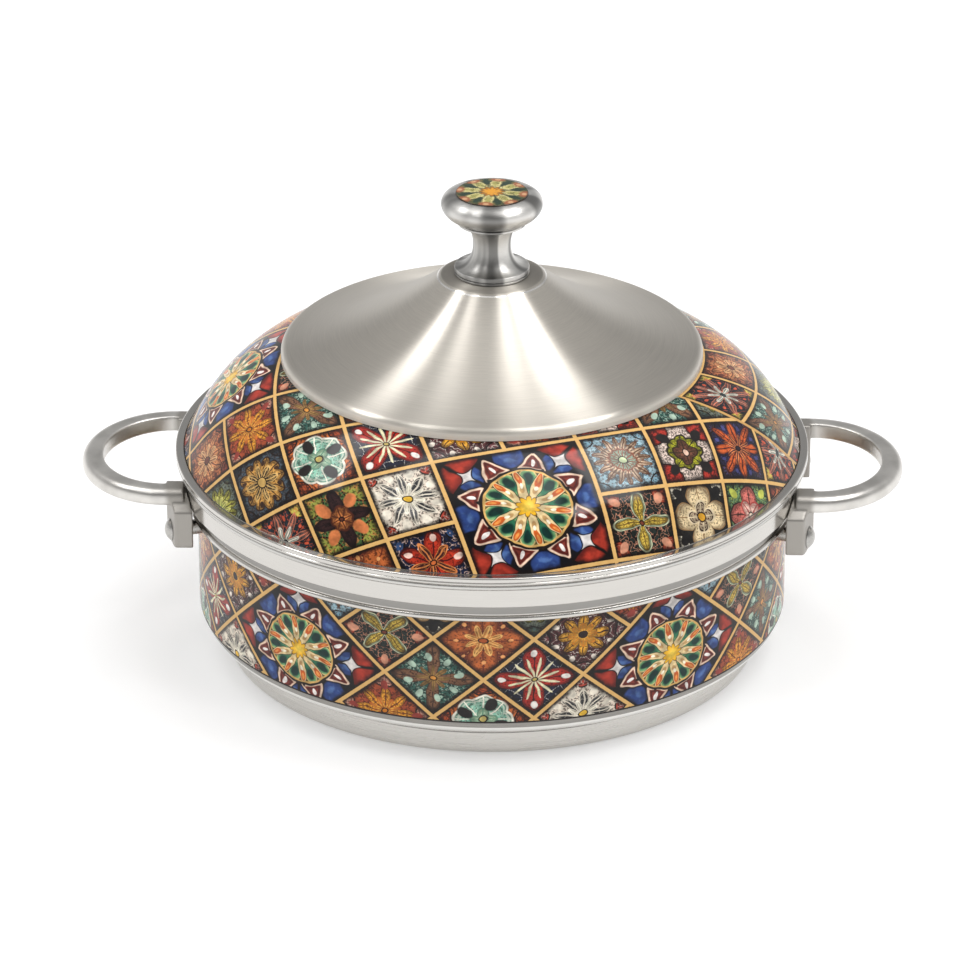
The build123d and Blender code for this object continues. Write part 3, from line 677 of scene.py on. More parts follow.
def wheel(shade, under, x, y):
    """The medallion's wheel, its rim at 1: green drops and orange spokes round a sun."""
    radius, angle = (x * x + y * y) ** 0.5, shade.math("ARCTAN2", y, x)
    curls = shade.noise(shade.vector(x, y, 7.0), 9.0, 1.0)
    colour = painted(shade, under, paint(104, 96, 50), 1 - radius)
    along, off = folded(shade, angle, radius, 10, 0)
    drop = blob(shade, along - 0.66, off, 0.32, 0.19) & (1 - radius) * 6
    colour = painted(shade, colour, paint(214, 192, 128), drop + 0.1, 0.04)
    colour = painted(shade, colour, paint(128, 176, 118), drop - 0.02, 0.05)
    colour = painted(shade, colour, paint(44, 112, 80), drop + (curls - 0.5) * 0.5 - 0.25, 0.2)
    colour = ovals(shade, colour, along, off, [((8, 48, 42), 0.74, 0.17, 0.1, 0.3)])
    along, off = folded(shade, angle, radius, 10, 1)
    spoke = blob(shade, along - 0.56, off, 0.4, 0.085)
    colour = painted(shade, colour, paint(*DARK), spoke + 0.32, 0.05)
    colour = painted(shade, colour, paint(232, 206, 152), spoke + 0.16, 0.06)
    spoke_paint = (
        ((206, 96, 36), 0.76, 0.18, 0.07, 0.12),
        ((234, 150, 72), 0.8, 0.09, 0.03, 0.2),
        ((190, 150, 96), 0.46, 0.1, 0.05, 0.2),
        ((250, 240, 214), 0.54, 0.07, 0.035, 0.2),
    )
    colour = ovals(shade, colour, along, off, spoke_paint)
    colour = shade.mix(colour, paint(30, 20, 16), shade.fade(abs(radius - 1), 0.05, 0.03))
    gilt = shade.fade(abs(radius - 0.955), 0.03, 0.016)
    colour = shade.mix(colour, paint(220, 176, 104), gilt)
    sun = petals(shade, angle, 10, 0.27, 0.6, 1.0, 0) - radius
    colour = painted(shade, colour, paint(40, 26, 12), sun + 0.03, 0.02)
    colour = painted(shade, colour, paint(236, 178, 36), sun)
    return painted(shade, colour, paint(244, 206, 76), 0.12 - radius, 0.09)


def medallion(shade, u, v):
    """The large tile: the wheel, with eight pointed leaves outside its rim, blue panes between
    them, and a white star between two red leaves in each corner."""
    radius, angle = (u * u + v * v) ** 0.5, shade.math("ARCTAN2", v, u)
    x, y = abs(u), abs(v)
    curls = shade.noise(shade.vector(x | y, x & y, 3.0), 5.0, 2.0)
    along, off = folded(shade, angle, radius, 8, 0)
    panes = ((0.17 - abs(along - 0.86)) & (0.23 - abs(off))) * 6
    lights = shade.fade(panes + (curls - 0.5) * 1.6, 0.5, 0.9)
    colour = painted(shade, paint(10, 10, 18), paint(44, 68, 128), panes - 0.12, 0.12)
    colour = shade.mix(colour, paint(92, 128, 184), lights * 0.55)
    corner = (x + y - 1.36) & (0.55 - abs(x - y))
    shadow = shade.fade(corner, 0.2, 0.04, 0.0, 0.7) * (corner > 0)
    folds = shade.fade(abs(x - y), 0.08, 0.02) | shade.fade(x + y, 1.75, 1.9)
    colour = painted(shade, colour, paint(170, 52, 36), corner - 0.02)
    colour = shade.mix(colour, paint(60, 10, 12), shadow)
    colour = shade.mix(colour, paint(*DARK), folds)
    colour = outlined(shade, colour, paint(*DARK), corner, 0.024)
    star = 0.16 - (abs((x + y - 1.36) * 0.7) ** 0.62 + abs((x - y) * 0.7) ** 0.62) ** 1.61
    colour = painted(shade, colour, paint(226, 220, 216), star, 0.02)
    colour = outlined(shade, colour, paint(*DARK), star + 0.03, 0.018)
    along, off = folded(shade, angle, radius, 8, 1)
    leaf = (((0.97 - along) & 0.31) / 0.31) ** 0.72 * 0.18 - abs(off)
    leaf = leaf & (along - 0.66) & (0.96 - along)
    colour = painted(shade, colour, paint(16, 10, 14), leaf + 0.05)
    colour = painted(shade, colour, paint(128, 48, 38), leaf)
    colour = shade.mix(colour, paint(40, 12, 12), shade.fade(abs(leaf - 0.05), 0.03, 0.0, 0.0, 0.7))
    colour = outlined(shade, colour, paint(238, 206, 180), leaf, 0.018)
    colour = ovals(shade, colour, along, off, [((242, 234, 228), 0.78, 0.07, 0.03, 0.1)])
    return wheel(shade, colour, u / 0.645, v / 0.645)


def tiles(shade, across, down):
    """The print, from a place in tiles across and down: its colour and how raised its paint is."""
    column, row = shade.math("FLOOR", across), shade.math("FLOOR", down)
    block = shade.math("FLOOR", row / 4) * 4
    u, v = across - column - 0.5, down - row - 0.5
    column = shade.math("FLOORED_MODULO", column - block, 8)
    row = row - block
    large = (column < 1.5) * (row < 1.5)
    wide_u, wide_v = u + column - 0.5, v + row - 0.5
    gap = 0.5 - (abs(u) | abs(v))
    gap = gap + (1 - (abs(wide_u) | abs(wide_v)) - gap) * large
    # the hand of the painter: nothing is drawn quite true
    place = shade.vector(across, down, 0.0)
    sway_u, sway_v, _ = shade.parts(shade.noise(place, 4.0, 1.0, "Color"))
    sway_u, sway_v = (sway_u - 0.5) * 0.1, (sway_v - 0.5) * 0.1
    number = (row * 8 + column + 0.5) / 32
    colour = small_tile(shade, number, (u + sway_u) * 2.2, (v + sway_v) * 2.2)
    large_tile = medallion(shade, (wide_u + sway_u) * 1.06, (wide_v + sway_v) * 1.06)
    colour = shade.mix(colour, large_tile, large)
    brush, wash = shade.noise(place, 30.0, 2.0), shade.noise(place, 7.0, 2.0)
    light = shade.fade(wash, 0.3, 0.7, 0.6, 1.1) + (brush - 0.5) * 0.25
    colour = shade.mix(colour, shade.vector(light, light, light), 1.0, "MULTIPLY")
    # the dark gap round each tile, and the gold line in it
    grime = shade.fade(gap + (wash - 0.5) * 0.06, 0.12, 0.045, 0.0, 0.95)
    colour = shade.mix(colour, paint(18, 10, 8), grime)
    gold = shade.mix(paint(204, 156, 92), paint(226, 186, 118), wash)
    line = shade.fade(gap + (brush - 0.5) * 0.01, 0.031, 0.024)
    return shade.mix(colour, gold, line), line + brush * 0.3


def printed_film(name, lattice, line):
    """Clear-coated print. lattice turns the map's turn and length into tiles across and down,
    and says where a line in a colour marks the film's edges."""
    coat = dict(Coat_Weight=0.65, Coat_Roughness=0.09, Coat_IOR=1.42)
    material, shader, shade = finish(name, Roughness=0.5, Specular_IOR_Level=0.06, **coat)
    turn, length, _ = shade.parts(shade.node("UVMap", {"uv_map": "wrap"}, {}))
    across, down, edge = lattice(shade, turn, length)
    colour, raised = tiles(shade, across, down)
    colour = shade.mix(colour, paint(*line), edge)
    feed(shader, Base_Color=colour, Normal=shade.bump(0.25, 0.06 * mm, raised | edge))
    return material


TILES_ROUND = 19
TILE_HEIGHT = 36.2 * mm
LATTICE_CORNER = 40.4 * mm  # how high a corner of the lattice lies, at the front


def wall_lattice(shade, turn, length):
    """Upright diamonds round the wall, with a corner of the lattice at the front."""
    across = (turn - 0.5) * TILES_ROUND
    up = (length + film_low.z - FILM_TURN - LATTICE_CORNER) / TILE_HEIGHT
    seam = TILES_ROUND / 2 - 0.03
    edge = shade.fade(abs(across), seam, seam + 0.01) | shade.fade(length, 0.9 * mm, 0.6 * mm)
    return across + up - 1, across - up - 1, edge


film_outline = rounded(
    at(film_high.x, film_low.z - FILM_TURN),
    (at(film_high.x, film_high.z), 0.1 * mm),
    at(WALL, film_high.z),
    at(WALL, film_low.z - FILM_TURN),
)
wall_print = printed_film("wall print", wall_lattice, (34, 28, 26))
wall_film = turned("wall_film_printed", film_outline)
fixed(wall_film, "pot", "printed_film", wall_print, "wall_film")

# ----------------------------------------------------------------------
# Collar: a polished steel band round the pot's mouth, with a cove and a bead rolled in below it
# and a flange that laps over the wall's top edge.
# ----------------------------------------------------------------------
BEAD = 1.4 * mm
BAND = 8 * mm
COVE_DEPTH = 3.6 * mm
FLANGE_LAP = 4 * mm

collar_low, collar_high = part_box("collar_band")
COLLAR = collar_high.x
band_bottom = collar_high.z - BAND
cove = at(COLLAR - COVE_DEPTH, collar_low.z + 2 * BEAD)
collar_outline = [
    at(film_high.x, collar_low.z),
    *arc(cove - at(0, BEAD), (BEAD, BEAD), -90, 80, 14),
    *rounded(
        cove + at(0.2 * mm, 0),
        (at(cove.x + 0.2 * mm, band_bottom), 2.4 * mm),
        (at(COLLAR, band_bottom), 0.4 * mm),
        (at(COLLAR, collar_high.z), 0.5 * mm),
        at(WALL - FLANGE_LAP, collar_high.z),
        steps=10,
    ),
    at(WALL - FLANGE_LAP, collar_high.z - POT_SHEET),
    at(COLLAR - POT_SHEET, collar_high.z - POT_SHEET),
    at(COLLAR - POT_SHEET, band_bottom + POT_SHEET),
    at(cove.x - POT_SHEET, band_bottom + POT_SHEET),
    at(cove.x - POT_SHEET, cove.y),
    at(film_high.x, collar_low.z + POT_SHEET),
]
# The cove under the band is drawn darker as painted shade, and rougher.
collar_steel = turned_steel(
    "polished collar steel", (205, 202, 197), 0.16, 0.6, height=0.02, smears=0.03, depth=0.97,
    painted_shade=(collar_low.z + 2.2 * BEAD, band_bottom, 0.76),
)
collar = turned("collar_rolled", collar_outline)
fixed(collar, "pot", "collar_steel", collar_steel, "collar_band")

# ----------------------------------------------------------------------
# Inner bowl: deep-drawn steel that holds the food. Its flange lies on the collar and ends in a
# rolled lip, on which the lid stands.
# ----------------------------------------------------------------------
BOWL_CORNER = 14 * mm
MOUTH = 2.5 * mm
LIP = 1.3 * mm
BOWL_GAP = 16.1 * mm

bowl_low, bowl_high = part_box("inner_bowl")
BOWL = WALL - BOWL_GAP
BOWL_FLOOR = bowl_low.z + POT_SHEET
flange = collar_high.z + POT_SHEET
lip_middle = at(bowl_high.x - LIP, bowl_high.z - LIP)
mouth_middle = at(BOWL + MOUTH, flange - MOUTH)
corner_middle = at(BOWL - BOWL_CORNER, BOWL_FLOOR + BOWL_CORNER)
outside_corner = BOWL_CORNER + POT_SHEET
bowl_outline = [
    at(0, BOWL_FLOOR),
    *arc(corner_middle, (BOWL_CORNER, BOWL_CORNER), -90, 0, 14),
    *arc(mouth_middle, (MOUTH, MOUTH), 180, 90),
    *arc(lip_middle, (LIP, LIP), 212, -90, 20),
    *arc(mouth_middle, (MOUTH - POT_SHEET, MOUTH - POT_SHEET), 90, 180),
    *arc(corner_middle, (outside_corner, outside_corner), 0, -90, 14),
    at(0, bowl_low.z),
]
bowl_steel = turned_steel("bowl steel", (206, 204, 200), 0.22, 0.5)
bowl = turned("inner_bowl_drawn", bowl_outline)
fixed(bowl, "pot", "bowl_steel", bowl_steel, "inner_bowl")

# ----------------------------------------------------------------------
# Foam: rigid insulating foam, pale yellow. It is poured into the pot through the base, and
# sets in the lid before the liner goes on.
# ----------------------------------------------------------------------


def foam():
    material, shader, shade = finish("set foam", Specular_IOR_Level=0.2, Roughness=0.9)
    place = shade.place()
    cells = shade.node("TexVoronoi", {}, {"Vector": place, "Scale": 900.0})
    pale = shade.fade(shade.noise(place, 60.0, 3.0) + cells * 0.3, 0.3, 0.9)
    colour = shade.mix(paint(214, 190, 128), paint(238, 222, 170), pale)
    feed(shader, Base_Color=colour, Normal=shade.bump(0.6, 0.4 * mm, cells))
    return material


set_foam = foam()
kept("pot_foam", set_foam)

# ----------------------------------------------------------------------
# Handles: one casting each, a flat loop with a lug at both ends. It is tumbled to a satin grey
# and the loop is rubbed lighter, while the lugs are left rougher and drawn darker as painted shade.
# ----------------------------------------------------------------------


def cast_metal():
    material, shader, shade = finish("cast handle metal", Metallic=1.0)
    place = shade.place()
    grain, cloud = shade.noise(place, 1500.0, 3.0), shade.noise(place, 60.0, 4.0)
    rubbed = shade.mix(paint(196, 193, 188), paint(222, 219, 214), shade.fade(cloud, 0.3, 0.65))
    x, y, _ = shade.parts(place)
    # the lugs are drawn darker as painted shade, and rougher
    skin = shade.fade((x * x + y * y) ** 0.5, COLLAR + 11 * mm, COLLAR + 8 * mm)
    feed(
        shader,
        Base_Color=shade.mix(rubbed, paint(158, 154, 148), skin * 0.9),
        Roughness=0.32 + (cloud - 0.5) * 0.12 + skin * 0.16,
        Normal=shade.bump(0.12, 0.05 * mm, grain),
    )
    return material


def blended(name, pieces):
    """One skin over some closed pieces, (points, faces) each, its edges softened by tumbling."""
    points, faces = [], []
    for own_points, own_faces in pieces:
        faces += [[len(points) + k for k in face] for face in own_faces]
        points += own_points
    mesh = bpy.data.meshes.new(name)
    mesh.from_pydata(points, [], faces)
    piece = bpy.data.objects.new(name, mesh)
    bpy.context.scene.collection.objects.link(piece)
    skin = piece.modifiers.new("one skin", "REMESH")
    skin.mode, skin.voxel_size, skin.use_smooth_shade = "VOXEL", 0.5 * mm, True
    soft = piece.modifiers.new("tumbled edges", "SMOOTH")
    soft.factor, soft.iterations = 0.5, 12
    return piece


def strung(sections):
    """The points and faces of a closed piece strung through sections, each of as many points."""
    count = len(sections[0])
    faces = [list(range(count)), [len(sections) * count - 1 - k for k in range(count)]]
    for i in range(len(sections) - 1):
        for k in range(count):
            here, after = i * count + k, i * count + (k + 1) % count
            faces.append([here, here + count, after + count, after])
    return [point for section in sections for point in section], faces


handle_low, handle_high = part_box("handle_right")
BAR_WIDTH, BAR_HEIGHT = 9 * mm, 7 * mm
LOOP_DEPTH, LOOP_HALF_WIDTH = 38 * mm, handle_high.y - 4.5 * mm
LUG_DEPTH, LUG_FALL = 7.5 * mm, 7.8 * mm
LUG_INSIDE = 2.5 * mm  # how far a lug reaches inward past the bar
LEG_END = 4 * mm  # how far the bar's legs run in behind the collar's face

loop_centre = handle_high.x - LOOP_DEPTH
bar_inside = LOOP_HALF_WIDTH - BAR_WIDTH
bar_section = rounded(
    (at(0, -BAR_HEIGHT), 0.8 * mm),
    (at(BAR_WIDTH, -BAR_HEIGHT), 2 * mm),
    (at(BAR_WIDTH, 0), 4.2 * mm),
    (at(0, 0), 0.8 * mm),
    steps=8,
)
lug_side = rounded(
    (at(bar_inside - LUG_INSIDE, handle_low.z), 1 * mm),
    (at(handle_high.y, handle_low.z), 2 * mm),
    (at(handle_high.y, handle_high.z - LUG_FALL), 0.8 * mm),
    (at(bar_inside, handle_high.z), 0.8 * mm),
    at(bar_inside - LUG_INSIDE, handle_high.z),
)
handle_metal = cast_metal()


def loop_bar(side):
    """The bar: a half ellipse, and short legs in to the lugs. side is 1 right, -1 left."""

    def bent(p, turn):
        out = loop_centre + (LOOP_DEPTH - BAR_WIDTH + p.x) * cos(turn)
        return side * out, (bar_inside + p.x) * sin(turn), handle_high.z + p.y

    turns = [radians(-90 + 3 * k) for k in range(61)]
    sections = [[bent(p, turn) for p in bar_section] for turn in turns]
    leg = side * (loop_centre - COLLAR + LEG_END)
    first, last = [[(x - leg, y, z) for x, y, z in end] for end in (sections[0], sections[-1])]
    return strung([first, *sections, last])


def lug(side, end):
    """A block curved to the collar, its top sloping to its toe. end is -1 in front, 1 behind."""

    def curved(p, r):
        return side * (r * r - p.x * p.x) ** 0.5, end * p.x, p.y

    reach = [COLLAR + 0.2 * mm + LUG_DEPTH * k / 4 for k in range(5)]
    return strung([[curved(p, r) for p in lug_side] for r in reach])


for name, side in (("left", -1), ("right", 1)):
    parts = [loop_bar(side), lug(side, -1), lug(side, 1)]
    casting = blended("handle_cast_" + name, parts)
    fixed(casting, "pot", "handle_metal", handle_metal, "handle_" + name)

# ----------------------------------------------------------------------
# Rivets: two solid steel rivets to a handle, their round heads outside the lugs. Short spacers
# hold the lugs off the film, and the ends are clinched over curved washers inside the wall.
# ----------------------------------------------------------------------
rivet_metal = turned_steel("rivet steel", (186, 184, 180), 0.24, 0.0, grain=0.6 * mm)
burr_steel = turned_steel("burr steel", (160, 158, 152), 0.4, 0.0, grain=0.6 * mm)
for side in ("left", "right"):
    kept("handle_rivets_" + side, rivet_metal)
    kept("rivet_spacers_" + side, rivet_metal)
    kept("rivet_burrs_" + side, burr_steel)

# ----------------------------------------------------------------------
# Lid rim: a steel channel rolled round the flanges of the dome and the liner, with a fine line
# rolled into its outside.
# ----------------------------------------------------------------------
LINE = 0.35 * mm
RIM_WALL, RIM_LEG = 1.1 * mm, 1 * mm
CHANNEL = 7 * mm

rim_low, rim_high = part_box("lid_rim_ring")
RIM = rim_high.x
MOUTH_EDGE = RIM - 3.5 * mm
groove = rim_low.z + 1 * mm
rim_outline = rounded(
    (at(RIM - CHANNEL, rim_low.z), 0.2 * mm),
    (at(RIM, rim_low.z), 0.3 * mm),
    (at(RIM, groove - LINE), 0.1 * mm),
    (at(RIM - LINE, groove), 0.1 * mm),
    (at(RIM, groove + LINE), 0.1 * mm),
    (at(RIM, rim_high.z), 0.9 * mm),
    (at(MOUTH_EDGE, rim_high.z), 0.3 * mm),
    at(MOUTH_EDGE, rim_high.z - RIM_LEG),
    at(RIM - RIM_WALL, rim_high.z - RIM_LEG),
    at(RIM - RIM_WALL, rim_low.z + RIM_LEG),
    (at(RIM - CHANNEL, rim_low.z + RIM_LEG), 0.2 * mm),
)
rim_steel = turned_steel(
    "polished rim steel", (205, 202, 197), 0.14, 0.6, height=0.02, smears=0.03, depth=0.97
)
fixed(turned("lid_rim_rolled", rim_outline), "lid", "rim_steel", rim_steel, "lid_rim_ring")

# ----------------------------------------------------------------------
# Dome: the lid's outer skin, spun from sheet steel. A short upright skirt turns over a soft
# shoulder into the dome, whose flat middle lies under the crown.
# ----------------------------------------------------------------------
LID_SHEET = 0.6 * mm
SKIRT = 12.9 * mm

crown_low, crown_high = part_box("crown")
dome_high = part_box("lid_dome")[1]
skirt_foot = at(MOUTH_EDGE, rim_high.z - RIM_LEG)
shoulder = skirt_foot + at(-7.4 * mm, SKIRT)
seat = at(crown_high.x - 0.8 * mm, crown_low.z - 0.3 * mm)
dome_curve = bow(shoulder, seat, 3.9 * mm)
dome_flat = at(40 * mm, dome_high.z)
under_crown = bow(seat, dome_flat, 0.9 * mm)
dome_line = [
    at(RIM - RIM_WALL, skirt_foot.y),
    skirt_foot,
    *dome_curve,
    *under_crown[1:],
    at(0, dome_high.z),
]
dome_steel = turned_steel("dome steel", (190, 187, 182), 0.25, 0.5)
dome = turned("lid_dome_spun", sheet(dome_line, LID_SHEET))
fixed(dome, "lid", "dome_steel", dome_steel, "lid_dome")

# ----------------------------------------------------------------------
# Lid film: the same print on the dome, from its rim to under the crown's lip. It is cut as a
# flat sector, bent round, pulled tight and lapped, so the rows of tiles lean as they go round.
# ----------------------------------------------------------------------
FILM = 0.3 * mm
SECTOR_RADIUS = 169 * mm
SECTOR_SHARE = 0.6995
TILE_ACROSS, TILE_DOWN = 25.9 * mm, 28 * mm
ROW_TILT, COLUMN_TILT = radians(15.3), radians(18)
LATTICE_SIDE, LATTICE_DOWN = 18.4 * mm, 119.7 * mm  # where its corner lies on the flat sector
LAP_TURN, LAP_HEIGHT = 86.5, 34  # where the lap passes, in degrees from the front and mm up
LAP_LEAN = 0.31  # in degrees per mm up
LAPPED_TILE, LAPPED_ROW = 16.1, 26.6  # the lapped sheet's tiles: degrees across, mm down
LAPPED_TOP = 33.8  # mm up to its lattice's first corner
LAPPED_COLUMNS, LAPPED_ROWS = 7, 3  # that corner's place in the patchwork

print_start = skirt_foot.lerp(shoulder, 1 * mm / SKIRT)
film_line = [print_start, *dome_curve, *under_crown[1:4]]
film_foot = (print_start - skirt_foot).length


def lid_lattice(shade, turn, length):
    """The print on the sector laid flat, and on the second sheet lapped over its end."""
    reach = SECTOR_RADIUS - film_foot - length
    swing = (turn - 0.5) * tau * SECTOR_SHARE
    x = reach * shade.math("SINE", swing) + LATTICE_SIDE
    y = LATTICE_DOWN - reach * shade.math("COSINE", swing)
    across = (x * cos(COLUMN_TILT) + y * sin(COLUMN_TILT)) / TILE_ACROSS
    down = (x * sin(ROW_TILT) - y * cos(ROW_TILT)) / TILE_DOWN
    up = (length + film_foot) / mm
    lapped = ((turn - 0.5) * 360 - LAP_TURN + (up - LAP_HEIGHT) * LAP_LEAN) / LAPPED_TILE + 1
    second = (lapped > 0) * (turn < 0.98)
    across = across + (lapped + LAPPED_COLUMNS - across) * second
    down = down + ((LAPPED_TOP - up) / LAPPED_ROW + LAPPED_ROWS - down) * second
    return across, down, shade.fade(abs(lapped), 0.035, 0.02)


dome_print = printed_film("dome print", lid_lattice, (196, 152, 90))
lid_film = turned("lid_film_printed", beside(film_line, -FILM) + film_line[::-1])
fixed(lid_film, "lid", "printed_film", dome_print, "lid_film")

# ----------------------------------------------------------------------
# Lid liner: the lid's inner skin. A folded skirt hangs into the bowl and holds the lid in
# place, and a raised ceiling leaves room for the breads.
# ----------------------------------------------------------------------
liner_low, liner_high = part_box("lid_liner")
LINER = BOWL - 0.9 * mm
INNER_SIDE = LINER - 4.4 * mm
liner_line = rounded(
    at(RIM - RIM_WALL, rim_low.z + RIM_LEG),
    (at(LINER, rim_low.z + RIM_LEG), 1.5 * mm),
    (at(LINER, liner_low.z), 2 * mm),
    (at(INNER_SIDE, liner_low.z), 2 * mm),
    (at(INNER_SIDE, liner_high.z - LID_SHEET), 12 * mm),
    at(0, liner_high.z - LID_SHEET),
    steps=10,
)
liner_steel = turned_steel("liner steel", (206, 204, 200), 0.22, 0.5)
liner = turned("lid_liner_drawn", sheet(liner_line, -LID_SHEET))
fixed(liner, "lid", "liner_steel", liner_steel, "lid_liner")
kept("lid_foam", set_foam)

# ----------------------------------------------------------------------
# Crown: a hollow-flanked cone spun from thicker steel and brushed on the lathe, its lip turned
# down onto the film all round.
# ----------------------------------------------------------------------
CROWN_SHEET = 0.8 * mm
PLATEAU = 21.5 * mm
CROWN_LIP = 4.4 * mm

plateau = at(PLATEAU, crown_high.z)
brim = at(crown_high.x, crown_low.z + CROWN_LIP)
flank = bow(plateau, brim, 5 * mm)
crown_line = rounded(
    at(0, crown_high.z),
    (plateau, 8 * mm),
    *flank[2:-3],
    (brim, 3.4 * mm),
    at(crown_high.x, crown_low.z),
    steps=12,
)
# The plateau round the knob's foot is drawn darker and rougher as painted shade, and a thin ring at
# its edge lighter as a painted highlight.
crown_steel = turned_steel(
    "brushed crown steel", (217, 211, 201), 0.34, 0.95, grain=0.12 * mm, height=0.05, depth=0.94,
    painted_shade=(crown_high.z - 0.7 * mm, crown_high.z + 1 * mm, 0.87),
    painted_highlight=(crown_high.z - 1.6 * mm, crown_high.z - 0.9 * mm),
)
crown = turned("crown_spun", sheet(crown_line, -CROWN_SHEET), 320)
fixed(crown, "lid", "crown_steel", crown_steel, "crown")

# ----------------------------------------------------------------------
# Knob: turned from solid and polished, with a stepped foot on the crown, a waisted neck and a
# wide head. It is held by a stud from inside the lid.
# ----------------------------------------------------------------------
knob_low, knob_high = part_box("knob")
inlay_low, inlay_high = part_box("knob_inlay")
KNOB = knob_high.x
FOOT, NECK, FLARE, NECK_RING = 15.8 * mm, 8 * mm, 13.2 * mm, 14.6 * mm
UNDERSIDE = 19 * mm
FOOT_RECESS, FOOT_GROOVE = 0.8 * mm, 0.7 * mm
under, groove_low, groove_high = [knob_low.z + rise * mm for rise in (0.4, 1.3, 1.7)]
foot_edge = FOOT - 0.5 * mm
foot_top = knob_low.z + 3.6 * mm
neck_low = foot_top + 9.2 * mm
neck_high = neck_low + 0.8 * mm
flare_top = neck_high + 9.5 * mm
ring_top = flare_top + 1 * mm
widest = knob_high.z - 4.4 * mm
head_rise = (widest - ring_top) / sin(radians(54))
brow = at(inlay_high.x + 0.5 * mm, widest)
knob_outline = [
    *rounded(
        at(0, knob_low.z),
        at(FOOT - FOOT_RECESS, knob_low.z),
        at(FOOT - FOOT_RECESS, under),
        (at(FOOT, under), 0.2 * mm),
        (at(FOOT, groove_low), 0.2 * mm),
        at(FOOT - FOOT_GROOVE, groove_low),
        at(FOOT - FOOT_GROOVE, groove_high),
        (at(FOOT, groove_high), 0.2 * mm),
        (at(FOOT, foot_top), 0.4 * mm),
        at(foot_edge, foot_top),
    ),
    *arc(at(foot_edge, neck_low), (foot_edge - NECK, neck_low - foot_top), 270, 180, 20),
    *arc(at(FLARE, neck_high), (FLARE - NECK, flare_top - neck_high), 180, 90, 20),
    *rounded(
        at(FLARE, flare_top),
        (at(NECK_RING, flare_top), 0.3 * mm),
        (at(NECK_RING, ring_top), 0.3 * mm),
        at(NECK_RING - 0.6 * mm, ring_top),
    )[1:],
    *arc(at(KNOB - UNDERSIDE, widest), (UNDERSIDE, head_rise), -54, 0, 14),
    *arc(brow, (KNOB - brow.x, knob_high.z - widest), 0, 90, 12)[1:],
    at(inlay_high.x, knob_high.z),
    at(inlay_high.x, inlay_low.z),
    at(0, inlay_low.z),
]
# Soft upright bands drawn darker round the knob are painted reflection.
knob_steel = turned_steel(
    "polished knob steel", (226, 224, 220), 0.36, 0.7, grain=0.5 * mm, height=0.01,
    smears=0.02, depth=0.97, painted_bands=0.38,
)
knob = turned("knob_turned", knob_outline, 192)
fixed(knob, "lid", "knob_steel", knob_steel, "knob")

# ----------------------------------------------------------------------
# Knob inlay: a thin printed disc with a flower on it. It is bonded into the recess in the
# knob's top, under clear resin.
# ----------------------------------------------------------------------


def rosette_print(radius):
    """Clear-coated print of a sun among eight pale petals, out to a radius."""
    coat = dict(Coat_Weight=0.8, Coat_Roughness=0.03)
    material, shader, shade = finish("inlay print", Roughness=0.5, Specular_IOR_Level=0.06, **coat)
    x, y, _ = shade.parts(shade.place())
    x, y = x / radius, y / radius
    reach, angle = (x * x + y * y) ** 0.5, shade.math("ARCTAN2", y, x)
    curls = shade.noise(shade.vector(x, y, 5.0), 7.0, 2.0)
    colour = shade.mix(paint(34, 52, 30), paint(96, 92, 50), shade.fade(curls, 0.4, 0.6))
    along, off = folded(shade, angle, reach, 8, 0.4)
    petal = blob(shade, along - 0.6, off, 0.36, 0.17) + (curls - 0.5) * 0.9
    colour = painted(shade, colour, paint(212, 200, 138), petal, 0.1)
    colour = painted(shade, colour, paint(158, 152, 84), petal - 0.4, 0.3)
    veins = shade.fade(abs(curls - 0.52), 0.03, 0.01) | shade.fade(abs(petal - 0.08), 0.08, 0.03)
    colour = shade.mix(colour, paint(58, 58, 30), veins * 0.75)
    tips = (((150, 88, 54), 0.92, 0.16, 0.2, 0.3), ((196, 150, 110), 0.9, 0.07, 0.08, 0.4))
    colour = ovals(shade, colour, along, off, tips)
    along, off = folded(shade, angle, reach, 8, 1.4)
    raised = blob(shade, along - 0.72, off, 0.22, 0.09)
    colour = painted(shade, colour, paint(22, 48, 30), raised, 0.3)
    sun = petals(shade, angle, 12, 0.34, 0.7, 1.0, 0) - reach
    colour = painted(shade, colour, paint(60, 40, 16), sun + 0.03, 0.03)
    colour = painted(shade, colour, paint(216, 148, 34), sun)
    shadow = shade.fade(sun + (curls - 0.5) * 0.4, 0.16, 0.02, 0.0, 0.8) * (sun > 0)
    colour = shade.mix(colour, paint(120, 78, 22), shadow)
    colour = shade.mix(colour, paint(44, 34, 22), shade.fade(reach, 0.95, 1.0))
    feed(shader, Base_Color=colour, Normal=shade.bump(0.2, 0.05 * mm, raised))
    return material


EDGE = 0.4 * mm

edge_middle = at(inlay_high.x - EDGE, inlay_high.z - 0.6 * mm)
inlay_outline = [
    at(0, inlay_low.z),
    at(inlay_high.x, inlay_low.z),
    *arc(edge_middle, (EDGE, EDGE), 0, 80, 6),
    *bow(edge_middle + at(0, EDGE), at(0, inlay_high.z), 0.1 * mm, 12)[1:],
]
inlay_print = rosette_print(inlay_high.x)
inlay = turned("knob_inlay_print", inlay_outline, 128)
fixed(inlay, "lid", "printed_film", inlay_print, "knob_inlay")

# ----------------------------------------------------------------------
# Fixing: a plated steel stud up into the knob, with a washer and a nut against the dome. They
# clamp knob, crown and dome together, and the lid's foam covers them.
# ----------------------------------------------------------------------
fixing_steel = turned_steel("plated fixing steel", (178, 176, 168), 0.35, 0.0, grain=0.5 * mm)
for node in ("knob_stud", "knob_washer", "knob_nut"):
    kept(node, fixing_steel)

# ----------------------------------------------------------------------
# The studio: a pale floor, a soft room and lamps above the pot, and the camera in front of it
# and a little above.
# ----------------------------------------------------------------------


